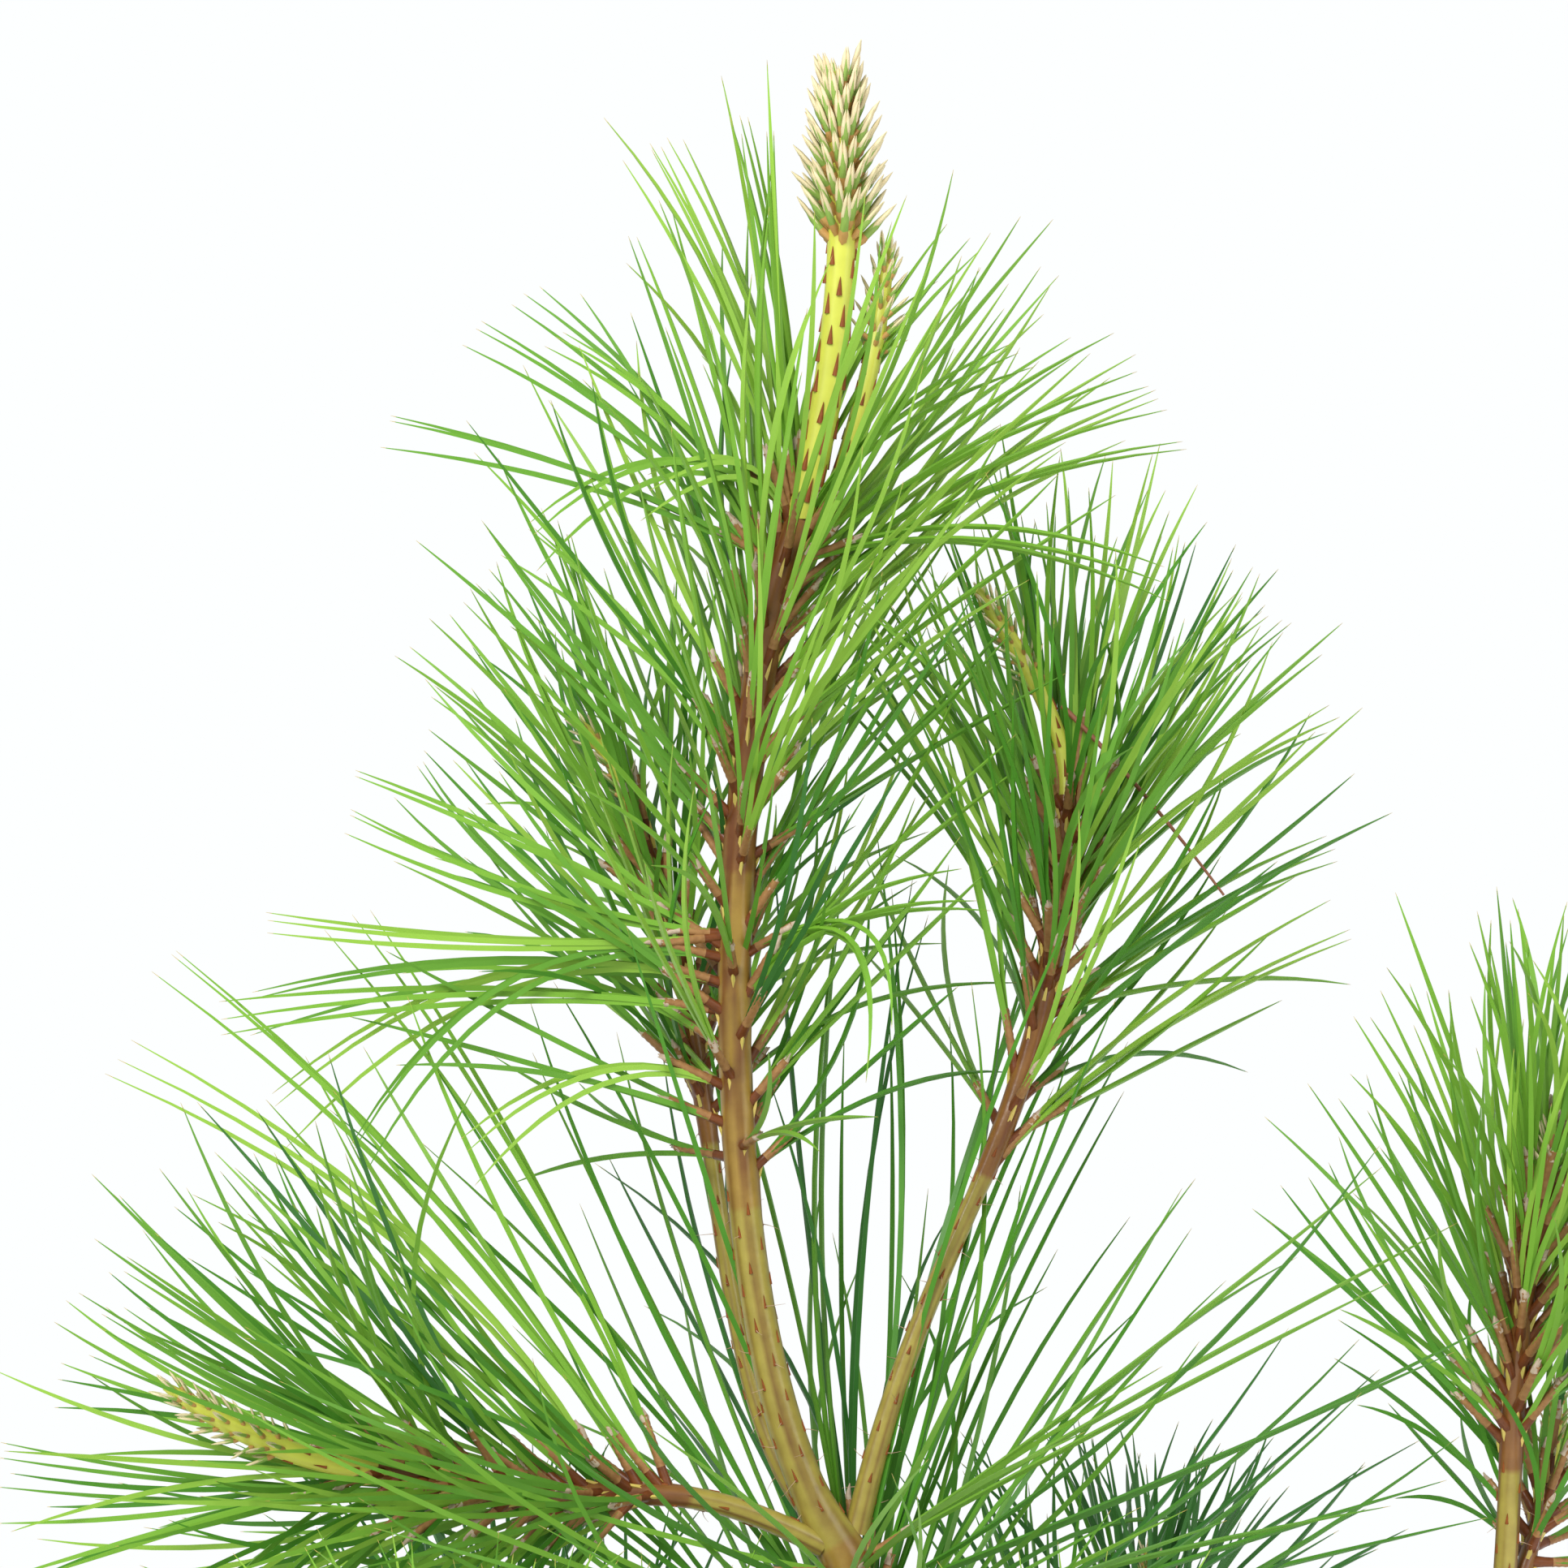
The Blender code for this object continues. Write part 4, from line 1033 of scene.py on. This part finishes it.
@dataclass
class CandleDress(Dressing):
    """Scales, scars, curled hairs and buds on the candles and bare stretches."""

    bud_slimness: float = 8.6
    scale_slimness: float = 5.5
    least_scale_girth: float = 0.5
    hairy_share: float = 0.55
    head_leans: tuple[float, float] = (42.0, 15.0)
    candle_pitch: float = 1.25
    leader_scale: float = 4.8
    side_scale: float = 3.0
    trunk_scars: tuple[tuple[float, float], ...] = ((366, 434), (242, 298))

    def add_head(self, shoot: Shoot, random: Random) -> None:
        """Buds in spirals round a candle's head, each a green body in cream scales."""
        limb = shoot.limb
        for index in range(shoot.bud_count):
            share = (index + 0.5) / shoot.bud_count
            place = blend(shoot.head_start, limb.length - 0.8 * shoot.bud_length, share)
            outward, axis = limb.outward(place, index * GOLDEN_TURN)
            lean = math.radians(blend(*self.head_leans, share ** 1.8) + random.normal(0, 5))
            course = swing(lean, axis, outward)
            length = shoot.bud_length * random.uniform(0.85, 1.1) * blend(1.0, 0.8, share)
            girth = length / self.bud_slimness
            root = limb.inside(place, outward, 0.7)
            bow = outward * length * 0.10
            tau = column(0.0, 0.25, 0.55, 0.8, 1.0)
            line = root + course * length * tau + bow * tau * (1 - tau) * 2
            self.strands["bud_bodies"].add(line, girth * BUD_RADII)
            self.strands["bud_feet"].add(line[:3] - course * 0.25, girth * BUD_FOOT_RADII)
            for sign in (-1.0, 1.0):
                aside = np.cross(course, outward) * sign * girth * 0.42
                edge = root + course * length * column(0.35, 0.65, 0.9, 1.12)
                edge = edge + aside * column(1.0, 1.1, 0.8, 0.5) + bow * 0.4
                self.strands["bud_creams"].add(edge, girth * blend(1.0, 1.3, share) * CREAM_RADII)

    def add_scales(self, limb: Limb, start: float, end: float, pitch: float, size: float,
                   random: Random, hairy: bool) -> None:
        """Triangular scales or scars in a spiral on a bare stretch.

        Args:
            limb: The limb that bears them.
            start: Where the stretch starts.
            end: Where it ends.
            pitch: Length along the limb from one scale to the next.
            size: A scale's length.
            random: The random source.
            hairy: Whether dry curled hairs stand by them.
        """
        count = max(1, int((end - start) / pitch))
        for index in range(count):
            place = blend(start, end, (index + 0.5) / count)
            outward, axis = limb.outward(place, index * GOLDEN_TURN + random.normal(0, 0.1))
            foot = limb.point(place) + outward * (limb.radius(place) - 0.12)
            shrink = 1.0 if hairy else 1.1 - 0.45 * index / count
            height = size * random.uniform(0.8, 1.15) * shrink
            girth = size / self.scale_slimness if size > 3 else self.least_scale_girth
            self.strands["stem_scales"].add(
                [foot - axis * 0.4, foot + axis * height * 0.4 + outward * 0.1,
                 foot + axis * height + outward * 0.3], girth * SCALE_RADII)
            if hairy and random.random() < self.hairy_share:
                tau = np.linspace(0, 1, 6)[:, None]
                bend = unit(np.cross(axis, outward)) * random.normal(0, 2.2)
                curl = axis * random.uniform(-1.5, 2.0)
                self.strands["curled_hairs"].add(
                    foot + outward * 2.4 * tau + bend * tau ** 2 - curl * tau ** 2,
                    np.linspace(0.13, 0.03, 6))

    def grow(self) -> None:
        """Dresses every shoot."""
        random = np.random.default_rng(DRESS_SEED)
        for shoot in SHOOTS:
            limb, on_trunk = shoot.limb, shoot.limb is TRUNK
            self.add_head(shoot, random)
            self.add_scales(limb, shoot.candle_start + 1, shoot.head_start, self.candle_pitch,
                            self.leader_scale if on_trunk else self.side_scale, random, False)
            if on_trunk:
                for low, high in self.trunk_scars:
                    self.add_scales(limb, limb.place_at_height(low), limb.place_at_height(high),
                                    1.5, 2.3, random, True)
            elif shoot.zones:
                self.add_scales(limb, 6.0, shoot.zones[0].start, 2.1, 1.9, random, True)


@dataclass(frozen=True)
class Pot:
    """The moulded nursery pot and the bark-based mix that fills it."""

    height: float = RIM_TOP
    foot_radius: float = 63.0
    neck_radius: float = RIM_INSIDE
    neck_height: float = 149.0
    rim_radius: float = 83.5
    wall: float = 1.8
    floor: float = 2.4
    sides: int = 144
    slots: int = 6
    slot_width: float = 16.0
    slot_height: float = 7.0
    soil_top: float = SOIL_TOP - 0.6
    mix_rings: int = 34
    clearance: float = 0.5
    sharp_angle: float = 32.0

    def _turned(self, name: str, profile: Sequence[tuple[float, float | None]]) -> Mesh:
        """A closed solid turned about +Z from a profile that starts and ends on it.

        Args:
            name: The mesh's name.
            profile: Pairs of radius and height, or None for the height of the mix's surface.

        Returns:
            The mesh, in metres.
        """
        points: list[Place] = []
        rings: list[range] = []
        for radius, height in profile:
            count = self.sides if radius else 1
            rings.append(range(len(points), len(points) + count))
            for k in range(count):
                angle = FULL_TURN * k / self.sides
                level = self._surface(radius, angle) if height is None else height
                points.append((radius * math.cos(angle), radius * math.sin(angle), level))
        return solid(name, points, bands(rings, self.sides))

    def _slot_cutter(self, turn: float) -> Object:
        """The block that cuts the drain slot at a turn round the foot."""
        cos, sin, half = math.cos(turn), math.sin(turn), self.slot_width / 2
        points = [(self.foot_radius * cos + x * cos - y * sin,
                   self.foot_radius * sin + x * sin + y * cos, z)
                  for z in (-self.slot_height, self.slot_height)
                  for x, y in ((-half, -half), (half, -half), (half, half), (-half, half))]
        faces = [(3, 2, 1, 0), (4, 5, 6, 7), *((k, (k + 1) % 4, (k + 1) % 4 + 4, k + 4)
                                               for k in range(4))]
        return linked("slot_cutter", solid("slot_cutter", points, faces))

    def _shell(self) -> Mesh:
        """The pot's shell, with a rolled rim and drain slots round its foot."""
        foot, neck, rim, top = self.foot_radius, self.neck_radius, self.rim_radius, self.height
        rim_low = self.neck_height + 1.5
        profile = [(0, 0), (foot - 2.0, 0), (foot - 0.6, 0.6), (foot, 2.0), (foot + 1.9, 18.0),
                   (foot + 1.3, 19.0), (neck - 2.0, self.neck_height - 14),
                   (neck, self.neck_height), (rim - 0.6, rim_low - 0.5), (rim, rim_low + 0.6),
                   (rim, top - 2.5), (rim - 0.5, top - 0.7), (rim - 1.7, top), (neck + 1.5, top),
                   (neck + 0.4, top - 0.6), (neck, top - 2.0), (neck - self.wall, self.neck_height),
                   (foot - self.wall, self.floor), (0, self.floor)]
        holder = linked("pot_shell_blank", self._turned("pot_shell", profile))
        cutters = [self._slot_cutter(FULL_TURN * (k + 0.5) / self.slots) for k in range(self.slots)]
        for cutter in cutters:
            boolean = holder.modifiers.new("slot", "BOOLEAN")
            boolean.operation, boolean.solver, boolean.object = "DIFFERENCE", "EXACT", cutter
        seen = holder.evaluated_get(bpy.context.evaluated_depsgraph_get())
        mesh = bpy.data.meshes.new_from_object(seen)
        mesh.name = "pot_shell"
        for thing in (holder, *cutters):
            bpy.data.objects.remove(thing, do_unlink=True)
        return dressed(mesh, POT_FINISH.material(), self.sharp_angle)

    def _surface(self, radius: float, angle: float) -> float:
        """The height of the mix's lumpy surface, which dips at the wall."""
        x, y = radius * math.cos(angle), radius * math.sin(angle)
        lumps = (math.sin(x * 0.31) * math.cos(y * 0.27) + 0.7 * math.sin(x * 0.83 + y * 0.41)
                 + 0.5 * math.cos(y * 1.21 - x * 0.62)
                 + 0.4 * math.sin(x * 2.1) * math.sin(y * 1.9))
        fall = min(max((radius - 12) / 20, 0.0), 1.0)
        dip = min(max((radius - 50) / 28, 0.0), 1.0)
        return self.soil_top + 0.55 * lumps * fall - 3.0 * dip

    def _mix(self) -> Mesh:
        """The body of mix: its lumpy top and the sides that follow the pot's wall."""
        rim = self.neck_radius - self.wall - self.clearance
        floor = self.floor + 0.3
        profile = [(0.0, floor), (self.foot_radius - self.wall - self.clearance, floor),
                   (rim, self.neck_height - 3.2),
                   *((radius, None) for radius in np.linspace(rim - 0.4, 2.0, self.mix_rings)),
                   (0.0, self.soil_top)]
        return dressed(self._turned("mix_body", profile), MIX_FINISH.material())

    def build(self, tubes: StrandTubes) -> None:
        """Makes the pot, the mix, its bark chips and its white grains."""
        kept("pot_shell", self._shell(), ("pot",))
        kept("mix_body", self._mix(), ("potting_mix",))
        random = np.random.default_rng(MIX_SEED)
        bits = Dressing()
        for name, count, size in (("bark_chips", 620, 3.2), ("perlite_grains", 90, 1.1)):
            for _ in range(count):
                radius = 10.0 + 64.0 * math.sqrt(random.random())
                angle = random.uniform(0, FULL_TURN)
                middle = np.array([radius * math.cos(angle), radius * math.sin(angle),
                                   self._surface(radius, angle) + 0.3])
                way = unit(np.array([random.normal(), random.normal(), random.normal(0, 0.25)]))
                half = size * random.uniform(0.4, 1.0)
                girth = 0.9 * size / 3.2 * random.uniform(0.6, 1.3)
                bits.strands[name].add(middle + way * half * column(-1.0, -0.5, 0.6, 1.0),
                                       girth * CHIP_RADII)
        bits.keep(tubes, Slot.MIX)


@dataclass(frozen=True)
class Lamp:
    """A soft square light, in metres and watts."""

    name: str
    place: Place
    power: float
    size: float
    aim_height: float = 0.45

    def build(self) -> None:
        """Makes the light and turns it to the tree."""
        light = bpy.data.lights.new(self.name, "AREA")
        light.energy, light.size = self.power, self.size
        lamp = linked(self.name, light)
        lamp.location = self.place
        x, y, z = np.array([0.0, 0.0, self.aim_height]) - np.array(self.place)
        lamp.rotation_euler = (math.pi / 2 + math.atan2(z, math.hypot(x, y)), 0.0,
                               math.atan2(y, x) - math.pi / 2)


@dataclass(frozen=True)
class Studio:
    """The pale floor, the soft lights and the camera that stands where the photograph's did."""

    floor_radius: float = 2.0
    floor_sides: int = 96
    floor_height: float = -0.0002
    floor_glow: float = 0.36
    world_strength: float = 0.62
    world_colour: Colour = (0.96, 0.98, 1.0)
    backdrop_colour: Colour = (0.985, 1.0, 1.0)
    lamps: tuple[Lamp, ...] = (Lamp("key", (-0.7, -1.2, 1.5), 30.0, 0.8),
                               Lamp("fill", (1.1, -0.9, 0.9), 7.0, 0.9))

    def _add_floor(self) -> None:
        """Lays the floor just under the pot."""
        mesh = bpy.data.meshes.new("floor")
        turns = [FULL_TURN * k / self.floor_sides for k in range(self.floor_sides)]
        rim = [(self.floor_radius * math.cos(turn), self.floor_radius * math.sin(turn),
                self.floor_height) for turn in turns]
        mesh.from_pydata(rim, [], [tuple(range(self.floor_sides))])
        pale = FLOOR_FINISH.material()
        shader = pale.node_tree.nodes["Principled BSDF"]
        shader.inputs["Emission Color"].default_value = (1.0, 1.0, 1.0, 1.0)
        shader.inputs["Emission Strength"].default_value = self.floor_glow
        mesh.materials.append(pale)
        floor = linked("floor", mesh)

    def _add_world(self) -> None:
        """Lights the scene from all round, in front of a near-white backdrop."""
        world = bpy.data.worlds.new("studio")
        world.use_nodes = True
        nodes, links = world.node_tree.nodes, world.node_tree.links
        background, backdrop = nodes["Background"], nodes.new("ShaderNodeBackground")
        background.inputs["Color"].default_value = (*self.world_colour, 1.0)
        background.inputs["Strength"].default_value = self.world_strength
        backdrop.inputs["Color"].default_value = (*self.backdrop_colour, 1.0)
        seen, either = nodes.new("ShaderNodeLightPath"), nodes.new("ShaderNodeMixShader")
        links.new(seen.outputs["Is Camera Ray"], either.inputs["Fac"])
        links.new(background.outputs["Background"], either.inputs[1])
        links.new(backdrop.outputs["Background"], either.inputs[2])
        links.new(either.outputs["Shader"], nodes["World Output"].inputs["Surface"])
        bpy.context.scene.world = world

    def _add_camera(self) -> None:
        """Stands the camera before the tree at the photograph's scale."""
        lens = bpy.data.cameras.new("camera")
        lens.sensor_width = SENSOR_WIDTH
        lens.lens = SENSOR_WIDTH * VIEW_DISTANCE / (PHOTO_SIDE / PIXELS_PER_MM)
        lens.clip_start = 0.01
        camera = linked("camera", lens)
        camera.location = (VIEW_MIDDLE[0] * MM, -VIEW_DISTANCE * MM, VIEW_MIDDLE[1] * MM)
        camera.rotation_euler = (math.pi / 2, 0.0, 0.0)
        bpy.context.scene.camera = camera

    def build(self) -> None:
        """Makes the studio."""
        self._add_floor()
        self._add_world()
        bpy.context.scene.view_settings.view_transform = "Standard"
        for lamp in self.lamps:
            lamp.build()
        self._add_camera()


def main() -> None:
    """Builds the studio, the needles, the bark, the candles and the pot, in that order."""
    logging.basicConfig(level=logging.INFO, format="%(name)s %(message)s")
    Studio().build()
    tubes = StrandTubes()
    needles = NeedleField()
    for shoot in SHOOTS:
        needles.grow(shoot)
    needles.grow_marked()
    needles.build(tubes)
    bark, shaft = BARK_FINISH.material(), SHAFT_FINISH.material()
    for shoot in SHOOTS:
        Bark(shoot, needles.cushions[shoot.name]).build(bark, shaft)
    dress = CandleDress()
    dress.grow()
    dress.keep(tubes, Slot.CANDLE)
    Pot().build(tubes)


if __name__ == "__main__":
    main()
